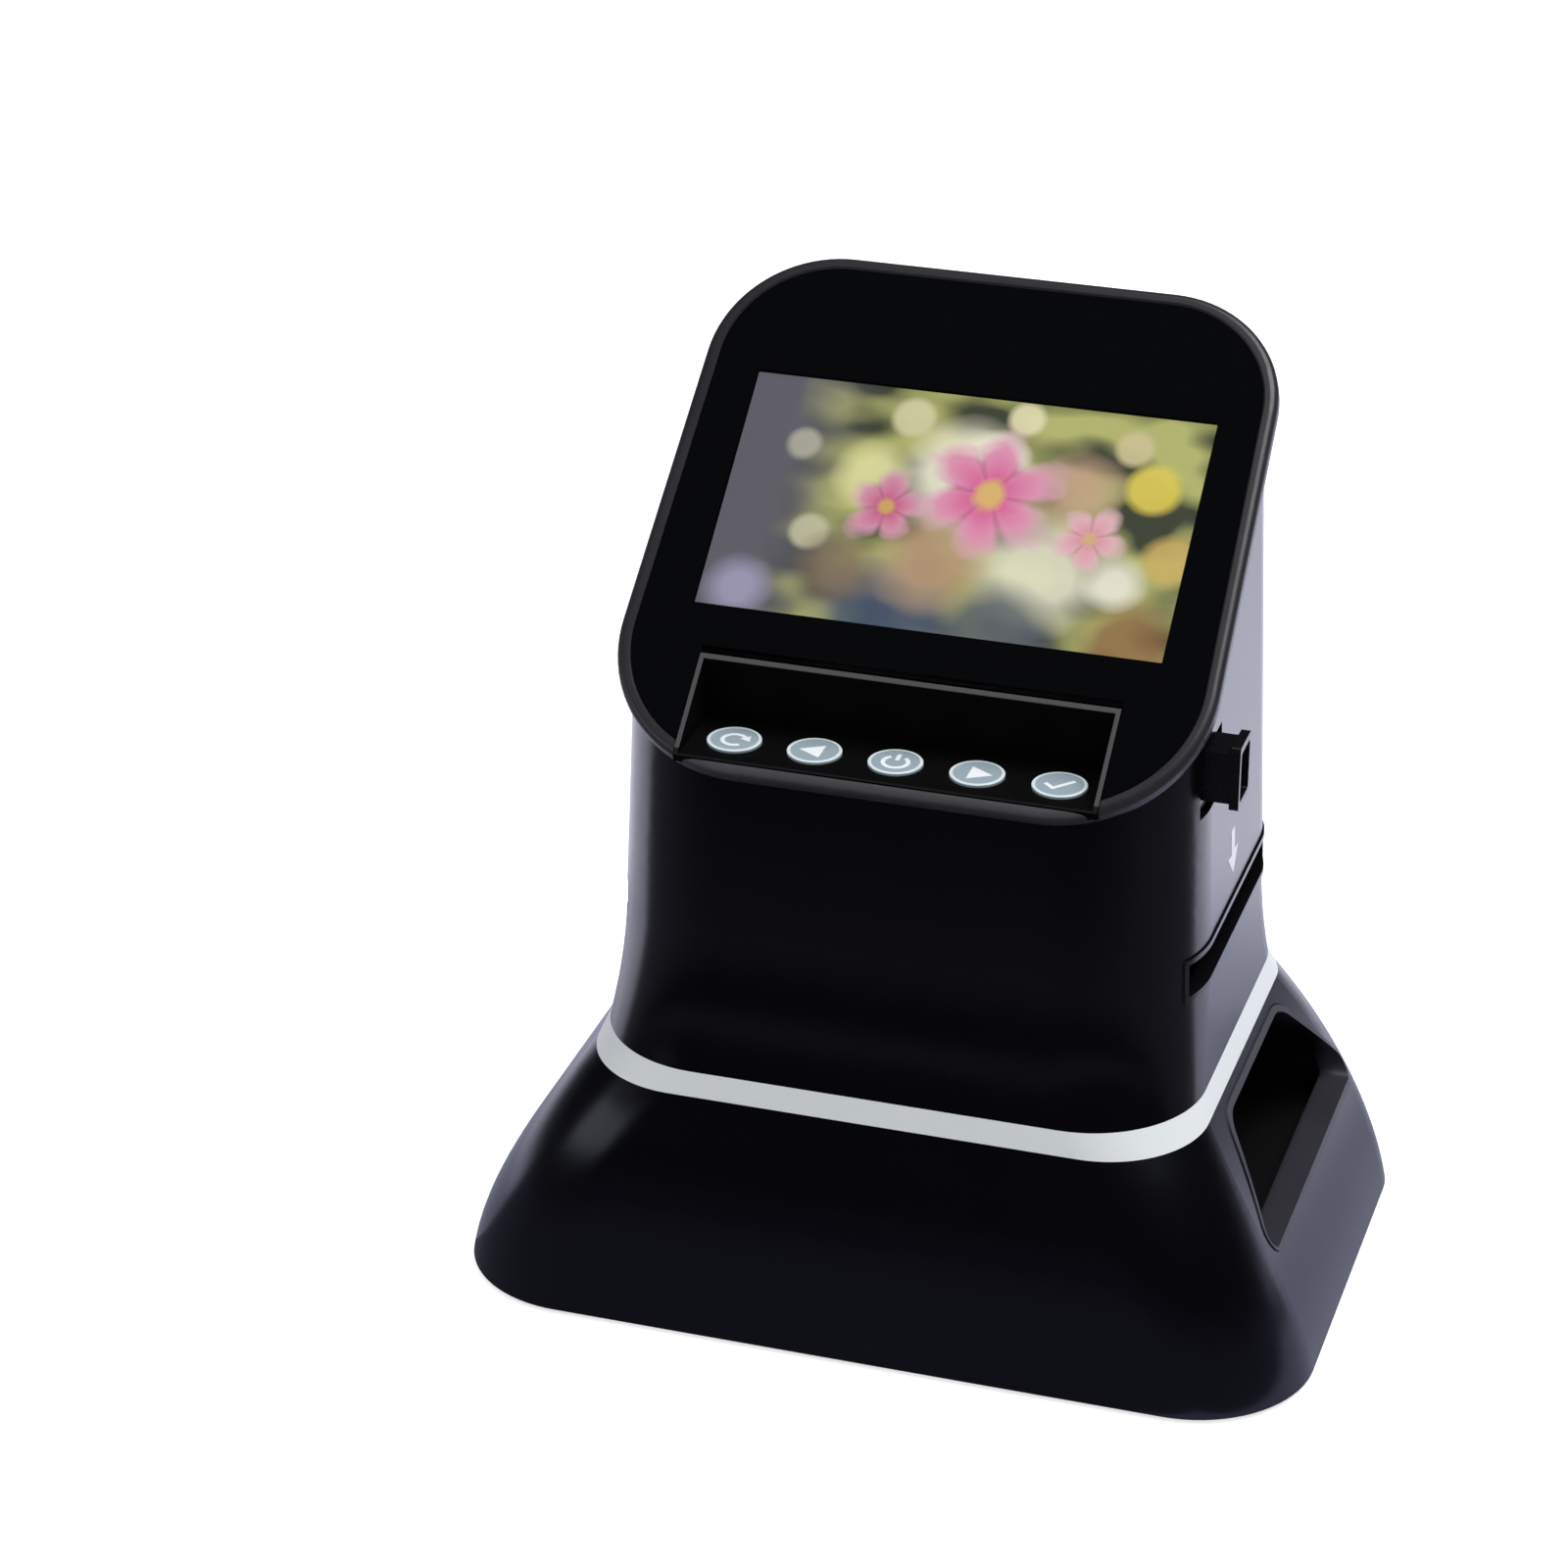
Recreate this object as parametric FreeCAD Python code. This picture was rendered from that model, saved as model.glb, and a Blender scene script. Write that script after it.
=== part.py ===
import FreeCAD, Part
import os
from math import cos, radians, sin, tan

# Film negative scanner: a tilted display on a tapering tower that stands on a bell-shaped base.
# Origin: middle of the floor under the base. +X right as seen from the display, +Y back, +Z up.

os.makedirs("parts", exist_ok=True)
Vector = FreeCAD.Vector

# Shares and general allowances
gap = 0.15              # clearance round a piece that is let into another
seat_gap = 0.05         # clearance between faces that lie on each other loosely
overrun = 3.0           # how far a cutting body runs past the face that it cuts
reach = 260.0           # size of the cutting blocks, larger than the object

# Display: a 4.3 inch panel
display_width = 105.5
display_height = 66.6
display_thickness = 3.0
retainer_thickness = 1.3
retainer_inset = 1.0

# Base
foot_height = 1.0
base_half_width = 88.9
base_half_depth = 57.7
base_corner = 25.2
base_corner_rear = 17.0
base_wall = 2.4
base_top = 49.6
shoulder_half_width = 63.8
shoulder_front = -46.3
shoulder_rear = 53.0
shoulder_corner = 21.5
shoulder_corner_rear = 15.0
flank_straight_share = 0.32     # share of the flank's run that is a straight slope
flank_power = 1.68              # how late the rest of it turns in towards the shoulder
front_power = 3.1
section_shares = (0.0, 0.2, 0.4, 0.6, 0.8, 1.0)

# Pale band between base and tower
band_height = 5.0
band_width = 3.4
band_half_width = 62.0
band_front = -45.0
band_rear = 53.1
band_corner = 24.2
band_corner_rear = 18.0

# Tower
tower_wall = 2.2
tower_straight_from = 82.0
tower_half_width = 60.3
tower_front = -39.6
tower_rear = 52.2
tower_corner_front = 26.0
tower_corner_rear = 21.0
tower_draft = 2.45      # degrees that each side leans in
tower_loft_top = 205.0
flare_shares = (0.0, 0.2, 0.45, 0.7, 1.0)

# Face: the tilted plane that carries the display
face_tilt = 38.13
face_y = 7.3
face_z = 159.84
face_low = -63.0
face_high = 55.5
face_half_low = 61.2
face_half_high = 58.4
face_corner_low = 30.0
face_corner_high = 25.5
frame_thickness = 3.0
rim_width = 2.9
rim_round = 1.6
rim_bevel = 0.4
glass_thickness = 1.5
glass_recess = 0.25
collar_inset = 0.55
collar_width = 4.4
collar_height = 1.5
cove_height = 2.4
cove_inset = 1.9

# Recess with the button row
recess_half_width = 42.5
recess_low = -60.0
recess_high = -36.2
tray_wall = 0.9
tray_proud = 0.2
ledge_thickness = 1.6
ledge_drop = 0.3

# Buttons
button_names = ("clear_button", "left_button", "power_button", "right_button", "ok_button")
button_spacing = 16.42
button_radius = 5.45
button_proud = 0.5
button_edge = 0.2
button_rim = 0.7
button_dish = 0.2
button_set_back = 8.8
button_flange_radius = 6.1
button_flange = 1.0
button_flange_gap = 0.1
button_stem_radius = 1.6
button_travel = 0.7
button_clearance = 0.15

# Switch board below the buttons
switch_side = 6.0
switch_height = 3.1
stem_length = 0.8
key_board_height = 1.2
key_board_width = 76.0
key_board_depth = 11.4
key_post_radius = 1.6
key_post_spread = 24.63
key_post_half_depth = 3.9
small_screw_head = 1.6
small_screw_head_height = 1.2
small_screw_radius = 0.9

# Film channel through the tower
film_floor = 76.9
film_height = 7.0
film_front = -24.4
film_length = 63.0
guide_thickness = 2.4
guide_rail = 3.0
guide_half_width = 53.0
guide_clearance = 0.3
gate_width = 86.0
gate_depth = 57.0
bezel_rim = 1.1
bezel_proud = 0.4
bezel_inside = 1.0
bezel_corner = 0.4

# Light source under the film
diffuser_thickness = 2.0
box_wall = 2.0
box_half_width = 47.5
box_ledge = 1.2
led_board_thickness = 1.6
led_board_margin = 1.6
led_side = 3.5
led_height = 1.4
led_columns = 4
led_rows = 3

# Optics above the film
bridge_half_width = 37.0
bridge_wall = 2.5
bridge_half_depth = 10.5
bridge_top = 139.0
bridge_foot = 12.0
rod_radius = 2.0
rod_spread = 27.0
rod_running_gap = 0.06
carriage_floor = 121.0
carriage_thickness = 4.0
carriage_half_width = 33.0
carriage_half_depth = 9.0
carriage_corner = 3.0
hub_radius = 4.6
hub_height = 7.0
lens_radius = 8.0
lens_barrel_length = 17.0
lens_bore_radius = 6.2
lens_flange_radius = 9.0
lens_flange = 2.0
front_lens_bulge = 1.6
front_lens_edge = 1.8
sensor_board_side = 24.0
sensor_board_thickness = 1.6
sensor_side = 11.0
sensor_height = 1.5
sensor_post = 5.0

# Format lever on the right side
lever_travel = 3.0
lever_front = -17.6
lever_depth = 9.2
lever_middle = 122.1
lever_height = 10.6
lever_reach = 65.1
lever_flange = 1.9
lever_flange_over = 1.5
lever_corner = 0.9
lever_dish = 1.2
lever_dish_rim = 0.9
lever_slot_front = -19.9
lever_slot_rear = -4.2
lever_slot_low = 113.5
lever_slot_high = 127.7
shutter_skin = 1.0       # wall left outside the track of the shutter
shutter_gap = 0.3
shutter_thickness = 1.3
shutter_over = 0.7
shutter_inner = 50.0
arm_front = -15.0
arm_depth = 6.0
arm_thickness = 3.0
arm_over = 8.0

# Detent leaf beside the carriage
leaf_thickness = 0.5
leaf_width = 6.0
leaf_low = 112.0
leaf_bend = 131.0
leaf_gap = 0.3
leaf_foot = 5.0

# Catch pocket in the right flank of the base
pocket_middle = 7.0
pocket_floor = 25.6
pocket_roof = 46.9
pocket_half_low = 40.5
pocket_half_high = 23.0
pocket_corner_low = 3.0
pocket_corner_high = 8.0
pocket_back = 34.0
pocket_wall = 1.2
pocket_proud = 0.3
sill_inner = 73.5
sill_drop = 5.0
sill_notch_width = 3.0
sill_notch_depth = 2.5

# Bottom plate, feet and screws
plate_thickness = 2.4
foot_radius = 7.0
foot_sink = 1.2
foot_x = 62.0
foot_y = 36.0
plate_screw_left = -40.0
plate_screw_right = 26.0
plate_screw_y = 40.0
boss_radius = 3.6
screw_radius = 1.5
screw_head_radius = 2.8
screw_head_height = 1.8
screw_length = 10.0
tower_screw_x = 46.5
tower_screw_front = -27.5
tower_screw_rear = 44.5
tower_boss_height = 14.0
tower_boss_radius = 3.4
cable_hole_half_width = 12.0
cable_hole_half_depth = 8.0

# Rear cover with its sockets
cover_half_width = 26.0
cover_low = 84.0
cover_high = 156.0
cover_corner = 5.0
cover_rebate = 3.0
cover_rebate_thickness = 1.4
cover_screw_inset = 4.2
cover_screw_radius = 1.2
cover_screw_head = 2.2
cover_screw_head_height = 1.1
cover_screw_length = 4.2
vent_count = 7
vent_pitch = 5.0
vent_half_width = 15.0
vent_height = 1.8
vent_low = 117.0

# Main board and sockets behind the rear cover
board_half_width = 31.0
board_low = 91.0
board_high = 148.0
board_thickness = 1.6
board_face = 42.0
board_post_radius = 2.0
board_screw_inset = 4.0
data_socket_x = -12.0
card_socket_x = 9.0
socket_z = 98.0
data_socket_width = 9.0
data_socket_height = 3.4
data_socket_corner = 1.6
card_socket_width = 26.0
card_socket_height = 3.2
card_slot_height = 2.3
socket_wall = 0.45
socket_recess = 0.4
main_chip_side = 14.0
main_chip_height = 1.4
main_chip_z = 118.0


def export(shape, node):
    """One file for each named piece."""
    shape.exportStep("parts/" + node + ".step")
    kept[node] = shape


kept = {}


def rounded_polygon(points, radii):
    """Closed outline through corner points, each corner rounded by its own radius."""
    edges = []
    starts = []
    ends = []
    middles = []
    count = len(points)
    for index in range(count):
        corner = points[index]
        back = (points[index - 1] - corner).normalize()
        ahead = (points[(index + 1) % count] - corner).normalize()
        half = back.getAngle(ahead) / 2
        radius = radii[index]
        run = radius / tan(half)
        along = (back + ahead).normalize()
        centre = corner + along * (radius / sin(half))
        starts.append(corner + back * run)
        ends.append(corner + ahead * run)
        middles.append(centre - along * radius)
    for index in range(count):
        following = (index + 1) % count
        edges.append(Part.Arc(starts[index], middles[index], ends[index]).toShape())
        edges.append(Part.makeLine(ends[index], starts[following]))
    return Part.Wire(edges)


def plan(z, half_width, front, rear, front_corner, rear_corner):
    """Rounded rectangle lying level at height z."""
    corners = [
        Vector(-half_width, front, z),
        Vector(half_width, front, z),
        Vector(half_width, rear, z),
        Vector(-half_width, rear, z),
    ]
    return rounded_polygon(corners, [front_corner, front_corner, rear_corner, rear_corner])


def block(x_low, x_high, y_low, y_high, z_low, z_high):
    """Plain block between two corners."""
    size = (x_high - x_low, y_high - y_low, z_high - z_low)
    return Part.makeBox(*size, Vector(x_low, y_low, z_low))


def rounded_block(x_low, x_high, y_low, y_high, z_low, z_high, radius):
    """Block with its upright corners rounded."""
    corners = [
        Vector(x_low, y_low, z_low),
        Vector(x_high, y_low, z_low),
        Vector(x_high, y_high, z_low),
        Vector(x_low, y_high, z_low),
    ]
    outline = rounded_polygon(corners, [radius] * len(corners))
    return Part.Face(outline).extrude(Vector(0, 0, z_high - z_low))


def side_prism(corners, radii, x_low, x_high):
    """Prism along X from an outline given as (y, z) corners."""
    outline = rounded_polygon([Vector(x_low, y, z) for y, z in corners], radii)
    return Part.Face(outline).extrude(Vector(x_high - x_low, 0, 0))


def back_prism(x_low, x_high, z_low, z_high, radius, y_low, y_high):
    """Prism along Y with rounded corners."""
    corners = [
        Vector(x_low, y_low, z_low),
        Vector(x_high, y_low, z_low),
        Vector(x_high, y_low, z_high),
        Vector(x_low, y_low, z_high),
    ]
    outline = rounded_polygon(corners, [radius] * len(corners))
    return Part.Face(outline).extrude(Vector(0, y_high - y_low, 0))


def pin(x, y, z_low, z_high, radius):
    """Upright round bar."""
    return Part.makeCylinder(radius, z_high - z_low, Vector(x, y, z_low))


def base_body(inset):
    """Bell-shaped body of the base, its skin moved in by the inset."""
    sections = []
    for share in section_shares:
        z = foot_height + share * (base_top - foot_height)
        flank = flank_straight_share * share + (1 - flank_straight_share) * share ** flank_power
        half_width = base_half_width - (base_half_width - shoulder_half_width) * flank
        front = -base_half_depth + (base_half_depth + shoulder_front) * share ** front_power
        rear = base_half_depth - (base_half_depth - shoulder_rear) * share ** front_power
        corner = base_corner + (shoulder_corner - base_corner) * share - inset
        rear_corner = base_corner_rear + (shoulder_corner_rear - base_corner_rear) * share - inset
        sections.append(plan(z, half_width - inset, front + inset, rear - inset, corner, rear_corner))
    return Part.makeLoft(sections, True, False)


def band_body(inset):
    """The band's own short taper between base and tower."""
    low = plan(base_top, shoulder_half_width - inset, shoulder_front + inset, shoulder_rear - inset,
               shoulder_corner - inset, shoulder_corner_rear - inset)
    high = plan(base_top + band_height, band_half_width - inset, band_front + inset, band_rear - inset,
                band_corner - inset, band_corner_rear - inset)
    return Part.makeLoft([low, high], True, True)


def tower_body(inset):
    """Flared foot and drafted shaft of the tower, its skin moved in by the inset."""
    foot = base_top + band_height
    sections = []
    for share in flare_shares:
        blend = (1 - share) ** 2
        z = foot + share * (tower_straight_from - foot)
        half_width = tower_half_width + (band_half_width - tower_half_width) * blend
        front = tower_front + (band_front - tower_front) * blend
        rear = tower_rear + (band_rear - tower_rear) * blend
        front_corner = tower_corner_front + (band_corner - tower_corner_front) * blend
        rear_corner = tower_corner_rear + (band_corner_rear - tower_corner_rear) * blend
        sections.append(plan(z, half_width - inset, front + inset, rear - inset,
                             front_corner - inset, rear_corner - inset))
    flare = Part.makeLoft(sections, True, False)
    lean = (tower_loft_top - tower_straight_from) * tan(radians(tower_draft))
    top = plan(tower_loft_top, tower_half_width - lean - inset, tower_front + inset, tower_rear - inset,
               tower_corner_front - inset, tower_corner_rear - inset)
    shaft = Part.makeLoft([sections[-1], top], True, True)
    return flare.fuse(shaft)


def face_point(across, up, depth):
    """A point of the tilted face: across, up the slope, and below the surface."""
    tilt = radians(face_tilt)
    return Vector(across,
                  face_y + up * cos(tilt) + depth * sin(tilt),
                  face_z + up * sin(tilt) - depth * cos(tilt))


face_normal = Vector(0, -sin(radians(face_tilt)), cos(radians(face_tilt)))


def face_outline(inset, depth):
    """Outline of the face, drawn in by the inset, at a depth below the surface."""
    corners = [
        face_point(-face_half_low + inset, face_low + inset, depth),
        face_point(face_half_low - inset, face_low + inset, depth),
        face_point(face_half_high - inset, face_high - inset, depth),
        face_point(-face_half_high + inset, face_high - inset, depth),
    ]
    low = face_corner_low - inset
    high = face_corner_high - inset
    return rounded_polygon(corners, [low, low, high, high])


def face_plate(inset, depth_top, depth_low):
    """Plate of the face's outline between two depths."""
    return Part.Face(face_outline(inset, depth_low)).extrude(face_normal * (depth_low - depth_top))


def face_block(left, right, low, high, depth_top, depth_low):
    """Block squared to the tilted face."""
    corners = [
        face_point(left, low, depth_low),
        face_point(right, low, depth_low),
        face_point(right, high, depth_low),
        face_point(left, high, depth_low),
    ]
    outline = Part.makePolygon(corners + corners[:1])
    return Part.Face(outline).extrude(face_normal * (depth_low - depth_top))


def above_face(depth):
    """Everything above the plane that lies this far below the face."""
    return face_block(-reach, reach, -reach, reach, -reach, depth)


# Places worked out once from the sizes
recess_front = face_point(0, recess_low, 0)
recess_back = face_point(0, recess_high, 0)
ledge_top = recess_front.z - ledge_drop
ledge_bottom = ledge_top - ledge_thickness
button_y = recess_front.y + button_set_back
flange_top = ledge_bottom - button_flange_gap
stem_bottom = flange_top - button_flange - stem_length
switch_top = stem_bottom - button_travel - gap
key_board_top = switch_top - switch_height
key_board_low = key_board_top - key_board_height
film_rear = film_front + film_length
film_roof = film_floor + film_height
film_middle = (film_front + film_rear) / 2
shell_bottom = base_top + band_height
deck_bottom = base_top - base_wall
plate_top = foot_height + plate_thickness
guide_top = film_roof + guide_thickness


def recess_prism(skin, width_inset, front_inset):
    """Three-sided prism of the button recess; the skin moves its floor and back wall outwards."""
    left = -recess_half_width + width_inset
    floor = ledge_top - skin * ledge_thickness / tray_wall
    back = recess_back.y - tray_wall + skin
    front = recess_front.y + front_inset
    front_z = recess_front.z + front_inset * tan(radians(face_tilt))
    lift = face_normal * overrun
    corners = [
        Vector(left, front, floor),
        Vector(left, back, floor),
        Vector(left, back, recess_back.z) + lift,
        Vector(left, front, front_z) + lift,
    ]
    outline = Part.makePolygon(corners + corners[:1])
    return Part.Face(outline).extrude(Vector(-2 * left, 0, 0))


def make_base():
    """Base shell with deck, screw bosses and the opening of the catch pocket."""
    outer = base_body(0)
    inside = base_body(base_wall).common(block(-reach, reach, -reach, reach, 0, deck_bottom))
    shell = outer.cut(inside)
    cable_hole = rounded_block(-cable_hole_half_width, cable_hole_half_width,
                               film_middle - cable_hole_half_depth, film_middle + cable_hole_half_depth,
                               deck_bottom - overrun, base_top + overrun, pocket_corner_low)
    shell = shell.cut(cable_hole)
    for x, y in plate_screw_places():
        boss = pin(x, y, plate_top + seat_gap, deck_bottom, boss_radius)
        shell = shell.fuse(boss.common(base_body(base_wall / 2)))
        hole_end = foot_height + screw_head_height + screw_length + gap
        shell = shell.cut(pin(x, y, 0, hole_end, screw_radius + gap))
    for x, y in tower_screw_places():
        shell = shell.cut(pin(x, y, deck_bottom - overrun, base_top + overrun, screw_radius + gap))
    opening = pocket_prism(pocket_wall + gap, pocket_back - pocket_wall - gap, reach)
    return shell.cut(opening).cut(pocket_well(pocket_wall + gap))


def plate_screw_places():
    """Where the bottom plate is screwed on; the right pair stands inside of the pocket."""
    return [(x, y) for x in (plate_screw_left, plate_screw_right) for y in (-plate_screw_y, plate_screw_y)]


def tower_screw_places():
    """Where the tower is screwed down to the deck."""
    return [(x, y) for x in (-tower_screw_x, tower_screw_x) for y in (tower_screw_front, tower_screw_rear)]


def foot_places():
    """Centres of the four feet."""
    return [(x, y) for x in (-foot_x, foot_x) for y in (-foot_y, foot_y)]


def pocket_prism(skin, x_low, x_high):
    """The pocket's four-sided outline along X, enlarged by the skin."""
    corners = [
        (pocket_middle - pocket_half_low - skin, pocket_floor - skin),
        (pocket_middle + pocket_half_low + skin, pocket_floor - skin),
        (pocket_middle + pocket_half_high + skin, pocket_roof + skin),
        (pocket_middle - pocket_half_high - skin, pocket_roof + skin),
    ]
    low = pocket_corner_low + skin
    high = pocket_corner_high + skin
    return side_prism(corners, [low, low, high, high], x_low, x_high)


def pocket_well(skin):
    """Deeper part of the pocket behind its sill, enlarged by the skin."""
    half = pocket_half_low - pocket_corner_low + skin
    return rounded_block(pocket_back - skin, sill_inner + skin, pocket_middle - half, pocket_middle + half,
                         pocket_floor - sill_drop - skin, pocket_floor + pocket_corner_low,
                         pocket_corner_low + skin)


def make_pocket_liner():
    """Moulded pocket with a raised sill behind its lip."""
    solid = pocket_prism(pocket_wall, pocket_back - pocket_wall, reach)
    solid = solid.common(base_body(-pocket_proud))
    solid = solid.fuse(pocket_well(pocket_wall))
    solid = solid.cut(pocket_prism(0, pocket_back, reach))
    solid = solid.cut(pocket_well(0))
    for side in (-1, 1):
        start = pocket_middle + side * (pocket_half_low - sill_notch_width)
        end = start + side * sill_notch_width / 2
        notch_from = sill_inner + pocket_wall
        notch = block(notch_from, notch_from + sill_notch_depth, min(start, end), max(start, end),
                      pocket_floor - pocket_wall / 2, pocket_floor + overrun)
        solid = solid.cut(notch)
    return solid


def make_base_plate():
    """Bottom plate with stiffening ribs, screw holes and seats for the feet."""
    body = base_body(base_wall + gap).common(block(-reach, reach, -reach, reach, 0, plate_top))
    for x, y in plate_screw_places():
        body = body.cut(pin(x, y, 0, plate_top + overrun, screw_radius + gap))
        body = body.cut(pin(x, y, 0, foot_height + screw_head_height, screw_head_radius + gap))
    for x, y in foot_places():
        body = body.cut(pin(x, y, 0, foot_height + foot_sink, foot_radius + gap))
    return body


def make_feet():
    """Four soft feet, each a short cone frustum let into the plate."""
    feet = []
    for x, y in foot_places():
        foot = pin(x, y, 0, foot_height + foot_sink, foot_radius)
        feet.append(foot.makeChamfer(foot_height / 2, [foot.Edges[2]]))
    return Part.makeCompound(feet)


def screw_up(x, y, z_low, head_radius, head_height, radius, length):
    """Screw driven upwards, head down."""
    head = pin(x, y, z_low, z_low + head_height, head_radius)
    return head.fuse(pin(x, y, z_low + head_height, z_low + head_height + length, radius))


def make_base_screws():
    """Screws that hold the bottom plate."""
    screws = []
    for x, y in plate_screw_places():
        screws.append(screw_up(x, y, foot_height, screw_head_radius, screw_head_height,
                               screw_radius, screw_length))
    return Part.makeCompound(screws)


def make_tower_screws():
    """Screws that hold the tower to the deck of the base."""
    screws = []
    for x, y in tower_screw_places():
        screws.append(screw_up(x, y, deck_bottom - screw_head_height, screw_head_radius, screw_head_height,
                               screw_radius, screw_length))
    return Part.makeCompound(screws)


def make_band():
    """Pale ring clamped between base and tower."""
    return band_body(0).cut(band_body(band_width))


def lever_slot_cut():
    """Upright slot for the format lever."""
    corners = [
        (lever_slot_front, lever_slot_low),
        (lever_slot_rear, lever_slot_low),
        (lever_slot_rear, lever_slot_high),
        (lever_slot_front, lever_slot_high),
    ]
    return side_prism(corners, [bezel_corner / 2] * len(corners), shutter_inner, reach)


def shutter_track():
    """Room inside the wall for the shutter over its whole travel."""
    low = lever_slot_low - lever_travel - shutter_over * 2
    high = lever_slot_high + lever_travel + shutter_over * 2
    front = lever_slot_front - shutter_over * 2
    rear = lever_slot_rear + shutter_over * 3
    track = block(shutter_inner, reach, front, rear, low, high)
    return track.common(tower_body(shutter_skin))


def film_prism(skin, x_low, x_high):
    """Outline of the film channel along X, enlarged by the skin."""
    corners = [
        (film_front - skin, film_floor - skin),
        (film_rear + skin, film_floor - skin),
        (film_rear + skin, film_roof + skin),
        (film_front - skin, film_roof + skin),
    ]
    return side_prism(corners, [bezel_corner] * len(corners), x_low, x_high)


def make_tower():
    """Tower shell: drafted walls, flared collar under the face, openings and screw bosses."""
    shell = tower_body(0).cut(tower_body(tower_wall))
    shell = shell.cut(above_face(frame_thickness))
    collar_low = frame_thickness + collar_height
    collar = face_plate(collar_inset, frame_thickness, collar_low)
    cove = Part.makeLoft([face_outline(collar_inset, collar_low),
                          face_outline(collar_inset + cove_inset, collar_low + cove_height)], True, True)
    collar = collar.fuse(cove)
    collar = collar.cut(face_plate(collar_inset + collar_width, 0, collar_low + cove_height + overrun))
    shell = shell.fuse(collar)
    shell = shell.cut(recess_prism(tray_wall + gap, -gap, 0))
    shell = shell.cut(face_block(-recess_half_width - gap, recess_half_width + gap, recess_low,
                                 recess_high, 0, collar_low + cove_height + overrun))
    room = block(-recess_half_width - gap, recess_half_width + gap, tower_front, recess_back.y,
                 key_board_low - overrun, recess_front.z)
    shell = shell.cut(room.common(tower_body(tower_wall)))
    shell = shell.cut(film_prism(bezel_rim + gap, -reach, reach))
    shell = shell.cut(lever_slot_cut())
    shell = shell.cut(shutter_track())
    rear_inner = tower_rear - tower_wall
    rebate = back_prism(-cover_half_width - gap, cover_half_width + gap, cover_low - gap, cover_high + gap,
                        cover_corner, rear_inner - seat_gap, reach)
    flange = back_prism(-cover_half_width - cover_rebate, cover_half_width + cover_rebate,
                        cover_low - cover_rebate, cover_high + cover_rebate, cover_corner,
                        rear_inner - cover_rebate_thickness, rear_inner + tower_wall / 2)
    window = back_prism(-cover_half_width + cover_rebate, cover_half_width - cover_rebate,
                        cover_low + cover_rebate, cover_high - cover_rebate, cover_corner,
                        rear_inner - overrun, reach)
    shell = shell.fuse(flange)
    for x, z in cover_screw_places():
        boss = Part.makeCylinder(cover_screw_head + gap, cover_screw_length,
                                 Vector(x, rear_inner - cover_screw_length, z), Vector(0, 1, 0))
        shell = shell.fuse(boss)
    shell = shell.cut(rebate)
    keep = shell.cut(window)
    for x, z in cover_screw_places():
        boss = Part.makeCylinder(cover_screw_head + gap, cover_screw_length,
                                 Vector(x, rear_inner - seat_gap - cover_screw_length, z), Vector(0, 1, 0))
        keep = keep.fuse(boss)
        hole = Part.makeCylinder(cover_screw_radius + gap, reach,
                                 Vector(x, rear_inner - cover_screw_length - overrun, z), Vector(0, 1, 0))
        keep = keep.cut(hole)
    inner = tower_body(tower_wall / 2)
    for x, y in tower_screw_places():
        boss = pin(x, y, base_top + seat_gap, base_top + tower_boss_height, tower_boss_radius)
        side = 1 if x > 0 else -1
        web_end = x + side * (tower_half_width - abs(x))
        web = block(min(x, web_end), max(x, web_end), y - base_wall / 2, y + base_wall / 2,
                    shell_bottom + seat_gap, base_top + tower_boss_height)
        keep = keep.fuse(boss.fuse(web.common(inner)))
        keep = keep.cut(pin(x, y, base_top - overrun, base_top + screw_length + gap, screw_radius + gap))
    return keep


def cover_screw_places():
    """Corners of the rear cover."""
    low = cover_low + cover_screw_inset
    high = cover_high - cover_screw_inset
    side = cover_half_width - cover_screw_inset
    return [(x, z) for x in (-side, side) for z in (low, high)]


def make_rear_cover():
    """Flush rear cover with vents and the openings of the sockets."""
    rear_inner = tower_rear - tower_wall
    cover = back_prism(-cover_half_width, cover_half_width, cover_low, cover_high, cover_corner,
                       rear_inner, tower_rear)
    for step in range(vent_count):
        z = vent_low + step * vent_pitch
        vent = back_prism(-vent_half_width, vent_half_width, z, z + vent_height, vent_height / 2 - seat_gap,
                          rear_inner - overrun, reach)
        cover = cover.cut(vent)
    cover = cover.cut(socket_prism(data_socket_x, data_socket_width, data_socket_height, data_socket_corner,
                                   gap, rear_inner - overrun, reach))
    cover = cover.cut(socket_prism(card_socket_x, card_socket_width, card_socket_height, socket_wall,
                                   gap, rear_inner - overrun, reach))
    for x, z in cover_screw_places():
        hole = Part.makeCylinder(cover_screw_radius + gap, reach,
                                 Vector(x, rear_inner - overrun, z), Vector(0, 1, 0))
        sink = Part.makeCylinder(cover_screw_head + gap, reach,
                                 Vector(x, tower_rear - cover_screw_head_height, z), Vector(0, 1, 0))
        cover = cover.cut(hole).cut(sink)
    return cover


def make_cover_screws():
    """Four small screws of the rear cover."""
    screws = []
    for x, z in cover_screw_places():
        head = Part.makeCylinder(cover_screw_head, cover_screw_head_height,
                                 Vector(x, tower_rear - cover_screw_head_height, z), Vector(0, 1, 0))
        shank = Part.makeCylinder(cover_screw_radius, cover_screw_length,
                                  Vector(x, tower_rear - cover_screw_head_height - cover_screw_length, z),
                                  Vector(0, 1, 0))
        screws.append(head.fuse(shank))
    return Part.makeCompound(screws)


def socket_prism(x, width, height, corner, skin, y_low, y_high):
    """Outline of a socket's mouth along Y."""
    return back_prism(x - width / 2 - skin, x + width / 2 + skin, socket_z - height / 2 - skin,
                      socket_z + height / 2 + skin, corner + skin, y_low, y_high)


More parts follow.
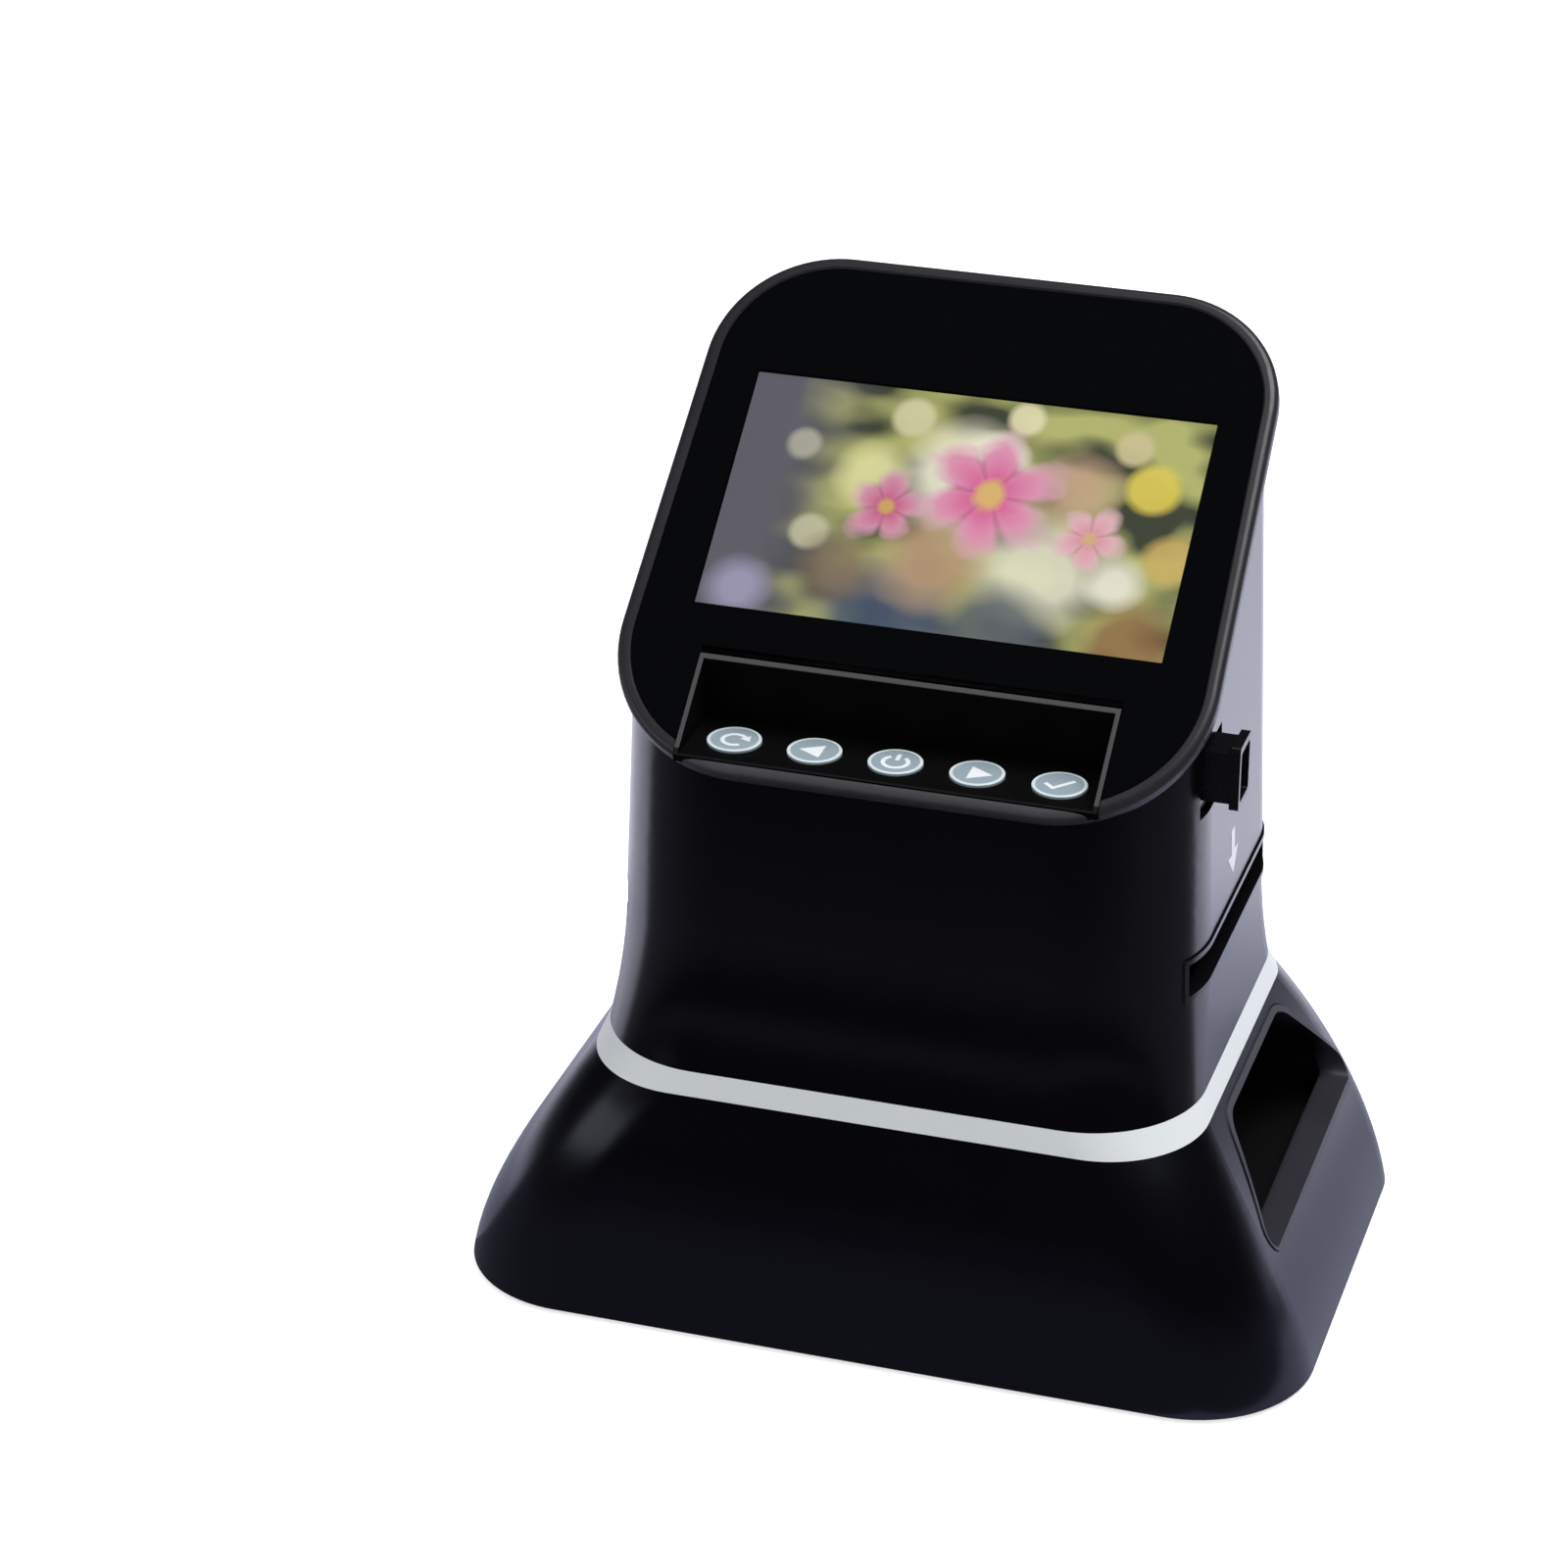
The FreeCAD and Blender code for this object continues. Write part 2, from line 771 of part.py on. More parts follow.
def make_data_socket():
    """Small round-ended socket with its tongue, on the rear of the main board."""
    rear = tower_rear - socket_recess
    shell = socket_prism(data_socket_x, data_socket_width, data_socket_height, data_socket_corner,
                         0, board_face, rear)
    mouth = socket_prism(data_socket_x, data_socket_width, data_socket_height,
                         data_socket_corner, -socket_wall, board_face + board_thickness, reach)
    tongue = block(data_socket_x - data_socket_width / 3, data_socket_x + data_socket_width / 3,
                   board_face, rear - socket_recess, socket_z - socket_wall, socket_z + socket_wall)
    return shell.cut(mouth).fuse(tongue)


def make_card_socket():
    """Flat card slot on the rear of the main board."""
    rear = tower_rear - socket_recess
    shell = socket_prism(card_socket_x, card_socket_width, card_socket_height, socket_wall,
                         0, board_face, rear)
    half = card_socket_width / 2 - socket_wall
    slot = block(card_socket_x - half, card_socket_x + half, board_face + board_thickness, reach,
                 socket_z - card_slot_height / 2, socket_z + card_slot_height / 2)
    return shell.cut(slot)


def board_screw_places():
    """Corners of the main board."""
    side = board_half_width - board_screw_inset
    low = board_low + board_screw_inset
    high = board_high - board_screw_inset
    return [(x, z) for x in (-side, side) for z in (low, high)]


def make_main_board():
    """Main board standing behind the rear cover, with its processor and fixing holes."""
    board = block(-board_half_width, board_half_width, board_face - board_thickness, board_face,
                  board_low, board_high)
    chip = block(-main_chip_side / 2, main_chip_side / 2, board_face, board_face + main_chip_height,
                 main_chip_z, main_chip_z + main_chip_side)
    board = board.fuse(chip)
    for x, z in board_screw_places():
        board = board.cut(Part.makeCylinder(small_screw_radius + gap, reach,
                                            Vector(x, board_face - reach / 2, z), Vector(0, 1, 0)))
    return board


def make_board_posts():
    """Standoffs between main board and the rebate of the rear cover."""
    posts = []
    rear_inner = tower_rear - tower_wall - cover_rebate_thickness
    for x, z in board_screw_places():
        posts.append(Part.makeCylinder(board_post_radius, rear_inner - board_face,
                                       Vector(x, board_face, z), Vector(0, 1, 0)))
    return Part.makeCompound(posts)


def make_face_frame():
    """Rounded rim that holds the glass, with the display window and the button recess."""
    frame = face_plate(0, 0, frame_thickness)
    tops = []
    for edge in frame.Edges:
        middle = edge.CenterOfMass - face_point(0, 0, 0)
        if abs(middle.dot(face_normal)) < seat_gap:
            tops.append(edge)
    frame = frame.makeFillet(rim_round, tops)
    frame = frame.cut(face_plate(rim_width, -overrun, glass_recess + glass_thickness + seat_gap))
    bevel = Part.makeLoft([face_outline(rim_width - 2 * rim_bevel, -rim_bevel),
                           face_outline(rim_width, rim_bevel)], True, True)
    frame = frame.cut(bevel)
    frame = frame.cut(face_block(-display_width / 2 - gap, display_width / 2 + gap,
                                 -display_height / 2 - gap, display_height / 2 + gap, -overrun, reach / 2))
    recess = face_block(-recess_half_width - gap, recess_half_width + gap, recess_low, recess_high + gap,
                        -overrun, frame_thickness + overrun)
    return frame.cut(recess).cut(recess_prism(tray_wall + gap, -gap, 0))


def make_glass():
    """Cover glass with its notch for the button recess."""
    glass = face_plate(rim_width + gap, glass_recess, glass_recess + glass_thickness)
    half = recess_half_width + gap
    recess = face_block(-half, half, face_low - overrun, recess_high + gap,
                        -overrun, frame_thickness + overrun)
    return glass.cut(recess)


def make_display():
    """Display module behind the glass."""
    top = glass_recess + glass_thickness + seat_gap
    return face_block(-display_width / 2, display_width / 2, -display_height / 2, display_height / 2,
                      top, top + display_thickness)


def make_display_frame():
    """Retainer below the display: a windowed plate with a bar along its top and bottom edges."""
    plate_from = glass_recess + glass_thickness + seat_gap + display_thickness + seat_gap
    plate_to = plate_from + retainer_thickness
    side = display_width / 2 - retainer_inset
    half = display_height / 2
    body = face_block(-side, side, -half - tray_wall, half + tray_wall, frame_thickness, plate_to)
    body = body.cut(face_block(-side - overrun, side + overrun, -half - gap, half + gap, 0, plate_from))
    return body.cut(face_block(-side / 2, side / 2, -half / 2, half / 2, 0, plate_to + overrun))


def make_button_tray():
    """Moulded recess: level ledge, upright back wall, two cheeks and posts for the switch board."""
    outer = recess_prism(tray_wall, 0, gap)
    inner = recess_prism(0, tray_wall, 0)
    tray = outer.cut(inner)
    tray = tray.cut(above_face(-tray_proud))
    for place in button_places():
        tray = tray.cut(pin(place, button_y, ledge_bottom - overrun, ledge_top + overrun,
                            button_radius + button_clearance))
    for x, y in key_post_places():
        tray = tray.fuse(pin(x, y, key_board_top, ledge_bottom, key_post_radius))
        tray = tray.cut(pin(x, y, key_board_top - overrun, ledge_bottom, small_screw_radius))
    return tray


def button_places():
    """Middles of the five buttons along X."""
    middle = (len(button_names) - 1) / 2
    return [(index - middle) * button_spacing for index in range(len(button_names))]


def key_post_places():
    """Posts between the buttons that carry the switch board."""
    return [(x, button_y + y) for x in (-key_post_spread, key_post_spread)
            for y in (-key_post_half_depth, key_post_half_depth)]


def make_button(x):
    """Round button: cap with an eased edge, retaining flange and stem."""
    cap = pin(x, button_y, flange_top, ledge_top + button_proud, button_radius)
    rim = [edge for edge in cap.Edges if abs(edge.BoundBox.ZMin - cap.BoundBox.ZMax) < seat_gap]
    cap = cap.makeFillet(button_edge, rim)
    top = ledge_top + button_proud
    cap = cap.cut(pin(x, button_y, top - button_dish, top + overrun, button_radius - button_rim))
    flange = pin(x, button_y, flange_top - button_flange, flange_top, button_flange_radius)
    stem = pin(x, button_y, stem_bottom, flange_top - button_flange, button_stem_radius)
    return cap.fuse(flange).fuse(stem)


def make_key_board():
    """Switch board under the ledge."""
    board = block(-key_board_width / 2, key_board_width / 2, button_y - key_board_depth / 2,
                  button_y + key_board_depth / 2, key_board_low, key_board_top)
    for x, y in key_post_places():
        hole = pin(x, y, key_board_low - overrun, key_board_top + overrun, small_screw_radius + gap)
        board = board.cut(hole)
    return board


def make_key_switches():
    """One square switch under each button."""
    half = switch_side / 2
    switches = []
    for x in button_places():
        body = block(x - half, x + half, button_y - half, button_y + half, key_board_top, switch_top)
        switches.append(body)
    return Part.makeCompound(switches)


def make_key_screws():
    """Screws of the switch board."""
    screws = []
    for x, y in key_post_places():
        low = key_board_low - small_screw_head_height
        screws.append(screw_up(x, y, low, small_screw_head, small_screw_head_height,
                               small_screw_radius - seat_gap, key_board_height + overrun))
    return Part.makeCompound(screws)


def make_bezel(side):
    """Frame round the mouth of the film channel, proud of the wall on the right and flush on the left."""
    proud = bezel_proud if side > 0 else 0
    ring = film_prism(bezel_rim, min(side * reach, 0), max(side * reach, 0))
    ring = ring.cut(film_prism(0, -reach, reach))
    skin = tower_body(-proud).cut(tower_body(tower_wall + bezel_inside))
    return ring.common(skin)


def make_lower_guide():
    """Lower half of the film channel: plate with the gate and two side rails."""
    half = guide_half_width - guide_clearance
    plate = block(-half, half, film_front - guide_rail, film_rear + guide_rail,
                  film_floor - guide_thickness, film_floor)
    gate = block(-gate_width / 2, gate_width / 2,
                 film_middle - gate_depth / 2, film_middle + gate_depth / 2,
                 film_floor - guide_thickness - overrun, film_roof)
    plate = plate.cut(gate)
    box_half = box_half_width - tower_wall
    for rail_low in (film_front - guide_rail, film_rear):
        rail = block(-box_half, box_half, rail_low, rail_low + guide_rail, film_floor, film_roof)
        plate = plate.fuse(rail)
    return plate.common(tower_body(tower_wall + bezel_inside + guide_clearance))


def make_upper_guide():
    """Upper half of the film channel."""
    half = guide_half_width - guide_clearance
    plate = block(-half, half, film_front - guide_rail, film_rear + guide_rail, film_roof, guide_top)
    gate = block(-gate_width / 2, gate_width / 2,
                 film_middle - gate_depth / 2, film_middle + gate_depth / 2,
                 film_roof - overrun, guide_top + overrun)
    return plate.cut(gate).common(tower_body(tower_wall + bezel_inside + guide_clearance))


def make_light_box():
    """Open box that stands on the deck and carries the film channel."""
    low = base_top
    high = film_floor - guide_thickness
    front = film_front - guide_rail
    rear = film_rear + guide_rail
    outer = block(-box_half_width, box_half_width, front, rear, low, high)
    inner = block(-box_half_width + box_wall, box_half_width - box_wall, front + box_wall, rear - box_wall,
                  low + box_wall, high + overrun)
    box = outer.cut(inner)
    ledge_high = high - diffuser_thickness - seat_gap
    ledge = block(-box_half_width, box_half_width, front, rear, low, ledge_high)
    well = block(-box_half_width + box_wall + box_ledge, box_half_width - box_wall - box_ledge,
                 front + box_wall + box_ledge, rear - box_wall - box_ledge, low + box_wall, high)
    box = box.fuse(ledge.cut(well))
    for x, y in tower_screw_places():
        box = box.cut(pin(x, y, low - overrun, high + overrun, tower_boss_radius + gap + seat_gap))
    return box


def make_diffuser():
    """Opal plate let into the top of the light box."""
    low = film_floor - guide_thickness - diffuser_thickness
    half = box_half_width - box_wall - gap
    edge = guide_rail - box_wall - gap
    return block(-half, half, film_front - edge, film_rear + edge, low, film_floor - guide_thickness)


def make_led_board():
    """Board of the light source on the floor of the light box."""
    half = box_half_width - box_wall - led_board_margin
    front = film_front - guide_rail + box_wall + led_board_margin
    rear = film_rear + guide_rail - box_wall - led_board_margin
    low = base_top + box_wall
    return block(-half, half, front, rear, low, low + led_board_thickness)


def make_leds():
    """Grid of light emitters."""
    low = base_top + box_wall + led_board_thickness
    leds = []
    for column in range(led_columns):
        for row in range(led_rows):
            x = ((column + 1) / (led_columns + 1) - 1 / 2) * gate_width
            y = film_middle + ((row + 1) / (led_rows + 1) - 1 / 2) * gate_depth
            leds.append(block(x - led_side / 2, x + led_side / 2, y - led_side / 2, y + led_side / 2,
                              low, low + led_height))
    return Part.makeCompound(leds)


def make_bridge():
    """Gantry over the film gate that carries the guide rods."""
    front = film_middle - bridge_half_depth
    rear = film_middle + bridge_half_depth
    top = block(-bridge_half_width, bridge_half_width, front, rear, bridge_top - bridge_wall, bridge_top)
    for side in (-1, 1):
        outer = side * bridge_half_width
        inner = side * (bridge_half_width - bridge_wall)
        foot_end = side * (bridge_half_width + bridge_foot)
        wall = block(min(outer, inner), max(outer, inner), front, rear, guide_top, bridge_top)
        foot = block(min(inner, foot_end), max(inner, foot_end), front, rear,
                     guide_top, guide_top + bridge_wall)
        top = top.fuse(wall).fuse(foot)
    for side in (-1, 1):
        x = side * rod_spread
        shelf_end = side * (bridge_half_width - bridge_wall)
        shelf_low = min(side * (rod_spread - hub_radius), shelf_end)
        shelf_high = max(side * (rod_spread - hub_radius), shelf_end)
        shelf = block(shelf_low, shelf_high, film_middle - hub_radius, film_middle + hub_radius,
                      guide_top, guide_top + bridge_wall)
        top = top.fuse(shelf)
        top = top.cut(pin(x, film_middle, guide_top + bridge_wall / 2, reach, rod_radius))
    return top


def make_rods():
    """Two ground rods that guide the carriage."""
    rods = []
    for side in (-1, 1):
        rods.append(pin(side * rod_spread, film_middle, guide_top + bridge_wall / 2, bridge_top, rod_radius))
    return Part.makeCompound(rods)


def make_carriage():
    """Sliding plate with two rod bushings, a lens seat and an arm towards the lever."""
    low = carriage_floor
    high = low + carriage_thickness
    front = film_middle - carriage_half_depth
    rear = film_middle + carriage_half_depth
    plate = rounded_block(-carriage_half_width, carriage_half_width, front, rear, low, high, carriage_corner)
    arm_rear = arm_front + arm_depth
    neck = block(rod_spread - hub_radius - carriage_corner, carriage_half_width, arm_front,
                 front + carriage_corner, low, high)
    arm = block(rod_spread, carriage_half_width + arm_over, arm_front, arm_rear, low, high)
    plate = plate.fuse(neck).fuse(arm)
    for side in (-1, 1):
        hub = pin(side * rod_spread, film_middle, low - hub_height / 2, high + hub_height / 2, hub_radius)
        plate = plate.fuse(hub)
        plate = plate.cut(pin(side * rod_spread, film_middle, 0, reach, rod_radius + rod_running_gap))
    return plate.cut(pin(0, film_middle, 0, reach, lens_radius + seat_gap))


def make_lens_barrel():
    """Stepped lens tube hanging from the carriage."""
    top = carriage_floor + carriage_thickness
    low = top - lens_barrel_length
    tube = pin(0, film_middle, low, top, lens_radius)
    tube = tube.fuse(pin(0, film_middle, top, top + lens_flange, lens_flange_radius))
    light_path = lens_bore_radius - lens_flange
    tube = tube.cut(pin(0, film_middle, low - overrun, top + lens_flange + overrun, light_path))
    seat = low + front_lens_edge + front_lens_bulge
    return tube.cut(pin(0, film_middle, low - overrun, seat, lens_bore_radius))


def make_front_lens():
    """Front lens, flat on its seat and domed towards the film."""
    top = carriage_floor + carriage_thickness - lens_barrel_length + front_lens_edge + front_lens_bulge
    radius = lens_bore_radius - seat_gap
    curve = (radius ** 2 + front_lens_bulge ** 2) / (2 * front_lens_bulge)
    disc = pin(0, film_middle, top - front_lens_edge - front_lens_bulge, top, radius)
    ball = Part.makeSphere(curve, Vector(0, film_middle, top - front_lens_edge - front_lens_bulge + curve))
    return disc.common(ball)


def make_sensor_board():
    """Small board above the lens on four posts."""
    low = carriage_floor + carriage_thickness + sensor_post
    half = sensor_board_side / 2
    board = block(-half, half, film_middle - half + sensor_post, film_middle + half - sensor_post,
                  low, low + sensor_board_thickness)
    inset = half - small_screw_head
    for x in (-inset, inset):
        for y in (-inset + sensor_post, inset - sensor_post):
            post = pin(x, film_middle + y, carriage_floor + carriage_thickness, low, small_screw_head - gap)
            board = board.fuse(post)
    return board


def make_sensor():
    """Image sensor on the underside of its board."""
    high = carriage_floor + carriage_thickness + sensor_post
    half = sensor_side / 2
    return block(-half, half, film_middle - half, film_middle + half, high - sensor_height, high)


def lever_corners(side_inset, end_inset):
    """Corners of the lever's end, drawn in at its sides and ends."""
    low = lever_middle - lever_height / 2 + end_inset
    high = lever_middle + lever_height / 2 - end_inset
    front = lever_front + side_inset
    rear = lever_front + lever_depth - side_inset
    return [(front, low), (rear, low), (rear, high), (front, high)]


def make_lever():
    """Format lever: knob with a dished end flange, shutter plate inside the wall and a fixing arm."""
    low = lever_middle - lever_height / 2
    high = lever_middle + lever_height / 2
    rear = lever_front + lever_depth
    flange_from = lever_reach - lever_flange
    knob = block(shutter_inner, lever_reach, lever_front, rear, low, high)
    knob = knob.cut(tower_body(shutter_skin + shutter_gap + shutter_thickness / 2))
    corners = [lever_corner] * 4
    flange = side_prism(lever_corners(-gap, -lever_flange_over), corners, flange_from, lever_reach)
    dish = side_prism(lever_corners(lever_dish_rim, 0), corners,
                      lever_reach - lever_dish, lever_reach + overrun)
    shutter_rear = lever_slot_rear + shutter_over * 2
    shutter = block(shutter_inner, reach, lever_slot_front - shutter_over, shutter_rear,
                    lever_slot_low - shutter_over, lever_slot_high + lever_travel + shutter_over)
    shutter = shutter.common(tower_body(shutter_skin + shutter_gap))
    shutter = shutter.cut(tower_body(shutter_skin + shutter_gap + shutter_thickness))
    shutter = shutter.cut(above_face(frame_thickness + shutter_gap))
    arm_low = carriage_floor + carriage_thickness
    arm = block(carriage_half_width + overrun, reach, arm_front, arm_front + arm_depth,
                arm_low, arm_low + arm_thickness)
    arm = arm.common(tower_body(shutter_skin + shutter_gap + shutter_thickness / 2))
    return knob.fuse(flange).cut(dish).fuse(shutter).fuse(arm)


def make_detent():
    """Leaf hanging from the gantry; its bow steadies the carriage at either end of the travel."""
    front = film_middle + bridge_half_depth
    rear = front + leaf_thickness
    near = film_middle + carriage_half_depth + leaf_gap
    middle = (leaf_low + leaf_bend) / 2
    left = -leaf_width / 2
    inner = Part.Arc(Vector(left, front, leaf_low), Vector(left, near, middle),
                     Vector(left, front, leaf_bend)).toShape()
    outer = Part.Arc(Vector(left, rear, leaf_low), Vector(left, near + leaf_thickness, middle),
                     Vector(left, rear, leaf_bend)).toShape()
    low_end = Part.makeLine(Vector(left, front, leaf_low), Vector(left, rear, leaf_low))
    high_end = Part.makeLine(Vector(left, front, leaf_bend), Vector(left, rear, leaf_bend))
    bow = Part.Face(Part.Wire([inner, high_end, outer, low_end])).extrude(Vector(leaf_width, 0, 0))
    strip = block(left, -left, front, rear, leaf_bend, bridge_top + leaf_thickness)
    foot = block(left, -left, front - leaf_foot, rear, bridge_top, bridge_top + leaf_thickness)
    return bow.fuse(strip).fuse(foot)


export(make_base(), "base_shell")
export(make_pocket_liner(), "pocket_liner")
export(make_base_plate(), "base_plate")
export(make_feet(), "rubber_feet")
export(make_base_screws(), "base_screws")
export(make_band(), "light_band")
export(make_tower(), "tower_shell")
export(make_tower_screws(), "tower_screws")
export(make_rear_cover(), "rear_cover")
export(make_cover_screws(), "rear_cover_screws")
export(make_main_board(), "main_board")
export(make_board_posts(), "main_board_posts")
export(make_data_socket(), "data_socket")
export(make_card_socket(), "card_socket")
export(make_face_frame(), "face_frame")
export(make_glass(), "screen_glass")
export(make_display(), "display_module")
export(make_display_frame(), "display_frame")
export(make_button_tray(), "button_tray")
export(make_key_board(), "key_board")
export(make_key_switches(), "key_switches")
export(make_key_screws(), "key_board_screws")
for button_name, place in zip(button_names, button_places()):
    export(make_button(place), button_name)
export(make_bezel(1), "slot_bezel_right")
export(make_bezel(-1), "slot_bezel_left")
export(make_lower_guide(), "lower_film_guide")
export(make_upper_guide(), "upper_film_guide")
export(make_light_box(), "light_box")
export(make_diffuser(), "diffuser")
export(make_led_board(), "led_board")
export(make_leds(), "light_emitters")
export(make_bridge(), "optics_bridge")
export(make_rods(), "guide_rods")
export(make_carriage(), "lens_carriage")
export(make_lens_barrel(), "lens_barrel")
export(make_front_lens(), "front_lens")
export(make_sensor_board(), "sensor_board")
export(make_sensor(), "image_sensor")
export(make_lever(), "format_lever")
export(make_detent(), "detent_spring")

for node, shape in kept.items():
    solids = shape.Solids
    box = shape.BoundBox
    print(node, len(solids), shape.isValid(), round(shape.Volume), box)
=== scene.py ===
import bpy
from math import cos, radians, sin, sqrt
from mathutils import Matrix, Vector


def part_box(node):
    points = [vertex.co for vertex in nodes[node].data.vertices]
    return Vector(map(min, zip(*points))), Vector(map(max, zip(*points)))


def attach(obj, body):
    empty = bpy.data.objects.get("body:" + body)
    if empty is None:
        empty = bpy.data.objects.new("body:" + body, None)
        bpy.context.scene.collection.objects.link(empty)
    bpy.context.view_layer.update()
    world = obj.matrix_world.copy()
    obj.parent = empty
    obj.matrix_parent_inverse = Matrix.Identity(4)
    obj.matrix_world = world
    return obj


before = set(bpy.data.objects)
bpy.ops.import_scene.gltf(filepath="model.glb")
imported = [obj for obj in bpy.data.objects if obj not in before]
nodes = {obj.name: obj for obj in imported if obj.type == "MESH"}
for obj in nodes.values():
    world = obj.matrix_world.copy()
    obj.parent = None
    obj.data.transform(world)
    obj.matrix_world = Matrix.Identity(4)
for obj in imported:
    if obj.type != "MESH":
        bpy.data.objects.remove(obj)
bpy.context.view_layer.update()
bpy.ops.object.select_all(action="DESELECT")

# the leaning face: where its middle is and how far it leans, as in the solids
face = {"tilt": 38.13, "y": 0.0073, "z": 0.15984}
faceTurn = Matrix.Rotation(radians(face["tilt"]), 4, "X")


def facePoint(across, up, depth):
    # a point of the leaning face: across, up its slope, and below its surface
    return Vector((across, face["y"], face["z"])) + faceTurn.to_3x3() @ Vector((0, up, -depth))


cameraSettings = {
    "place": (0.22345, -0.80710, 0.52242),
    "aim": (-0.02955, -0.00937, 0.10321),
    "lens": 106.717,
    "sensor": 36.0,
    "clip": (0.05, 50.0),
}


def makeCamera():
    place = Vector(cameraSettings["place"])
    turn = (Vector(cameraSettings["aim"]) - place).to_track_quat("-Z", "Y").to_euler()
    bpy.ops.object.camera_add(location=place, rotation=turn)
    camera = bpy.context.object
    camera.name = "camera"
    camera.data.lens = cameraSettings["lens"]
    camera.data.sensor_width = cameraSettings["sensor"]
    camera.data.sensor_fit = "HORIZONTAL"
    camera.data.clip_start, camera.data.clip_end = cameraSettings["clip"]
    bpy.context.scene.camera = camera
    camera.select_set(False)


makeCamera()
print("camera placed")


studio = {
    "floorSize": 24.0,
    "floorColour": (0.68, 0.68, 0.69),
    "floorMirrored": (0.55, 0.56, 0.74),    # the paper's colour in reflections
    "floorGlow": 0.70,               # added to the lit floor where the camera sees it
    "mirrorGlow": 0.70,              # and where reflections do
    "mirrorTint": (0.94, 0.94, 1.0),
    # the glow left out near the middle is a painted shadow round the object, seen only in
    # reflections
    "mirrorNear": (0.165, 0.215),    # how far from the middle that glow starts, and is full
    "mirrorFar": (0.35, 1.30, 0.22),    # where it fades, where it ends fading, and what is left
    "cards": [
        # dark cards on the floor, which only reflections see:
        # name, middle of the back edge, the edge's turn in degrees, length, depth, height
        ("cardLeft", (0.0, -0.050), -8.8, 8.0, 4.0, 0.0003),
        ("cardRight", (0.0, -0.106), 32.0, 8.0, 4.0, 0.0006),
        ("cardCorner", (0.232, 0.122), 47.0, 0.26, 0.15, 0.0009),
    ],
    "cardTint": (0.74, 0.74, 1.0),
    "cardGlow": (0.01, 0.15),        # least glow, and what is added next to the object and far out
    "cardNear": (-0.30, -0.12),      # where along Y the first is added
    "cardFar": (-0.90, -0.45),       # and where the second ends
    "lamps": [
        # name, place, aim, width, height, watts, seen in reflections
        ("topLamp", (0.40, 0.15, 1.35), (0.0, 0.0, 0.10), 0.8, 0.8, 13.0, True),
        ("leftLamp", (-1.02, -0.62, 0.53), (0.0, 0.0, 0.05), 0.9, 0.34, 1.3, True),
        ("frontLamp", (1.00, -0.70, 1.00), (0.0, 0.0, 0.06), 0.5, 0.5, 2.5, False),
    ],
    "air": 0.52,                     # what lights the object from all round
    "airTint": (0.97, 0.985, 1.0),
    "ceiling": 0.02,                 # what reflections see overhead and in front
    "horizon": 0.50,                 # what they see low down behind
    "horizonRise": 0.14,             # how high the horizon reaches
    "horizonBehind": (0.40, 0.80),   # where it starts behind, and is full
    "roomTint": (0.82, 0.84, 1.0),
}


def linkMath(tree, operation, first, second=0.0):
    node = tree.nodes.new("ShaderNodeMath")
    node.operation = operation
    for slot, value in enumerate((first, second)):
        if isinstance(value, (int, float)):
            node.inputs[slot].default_value = value
        else:
            tree.links.new(value, node.inputs[slot])
    return node.outputs[0]


def stretchValue(tree, value, low, high, toLow=0.0, toHigh=1.0):
    node = tree.nodes.new("ShaderNodeMapRange")
    node.inputs["From Min"].default_value = low
    node.inputs["From Max"].default_value = high
    node.inputs["To Min"].default_value = toLow
    node.inputs["To Max"].default_value = toHigh
    tree.links.new(value, node.inputs["Value"])
    return node.outputs["Result"]


def mixTones(tree, factor, first, second):
    node = tree.nodes.new("ShaderNodeMix")
    node.data_type = "RGBA"
    tree.links.new(factor, node.inputs[0])
    for slot, tone in ((6, first), (7, second)):
        if isinstance(tone, tuple):
            node.inputs[slot].default_value = (*tone, 1)
        else:
            tree.links.new(tone, node.inputs[slot])
    return node.outputs[2]


def mixShaders(tree, factor, first, second):
    node = tree.nodes.new("ShaderNodeMixShader")
    for slot, source in enumerate((factor, first, second)):
        tree.links.new(source, node.inputs[slot])
    return node.outputs[0]


def splitPlace(tree, place):
    node = tree.nodes.new("ShaderNodeSeparateXYZ")
    tree.links.new(place, node.inputs[0])
    return node.outputs


def lengthOf(tree, place):
    node = tree.nodes.new("ShaderNodeVectorMath")
    node.operation = "LENGTH"
    tree.links.new(place, node.inputs[0])
    return node.outputs["Value"]


def reflectedRay(tree, path):
    # 1 for a ray that a surface has mirrored or let through
    return linkMath(tree, "MAXIMUM", path.outputs["Is Glossy Ray"],
                    path.outputs["Is Transmission Ray"])


def stageMaterial(name):
    material = bpy.data.materials.new(name)
    material.use_nodes = True
    tree = material.node_tree
    tree.nodes.clear()
    return material, tree, tree.nodes.new("ShaderNodeOutputMaterial")


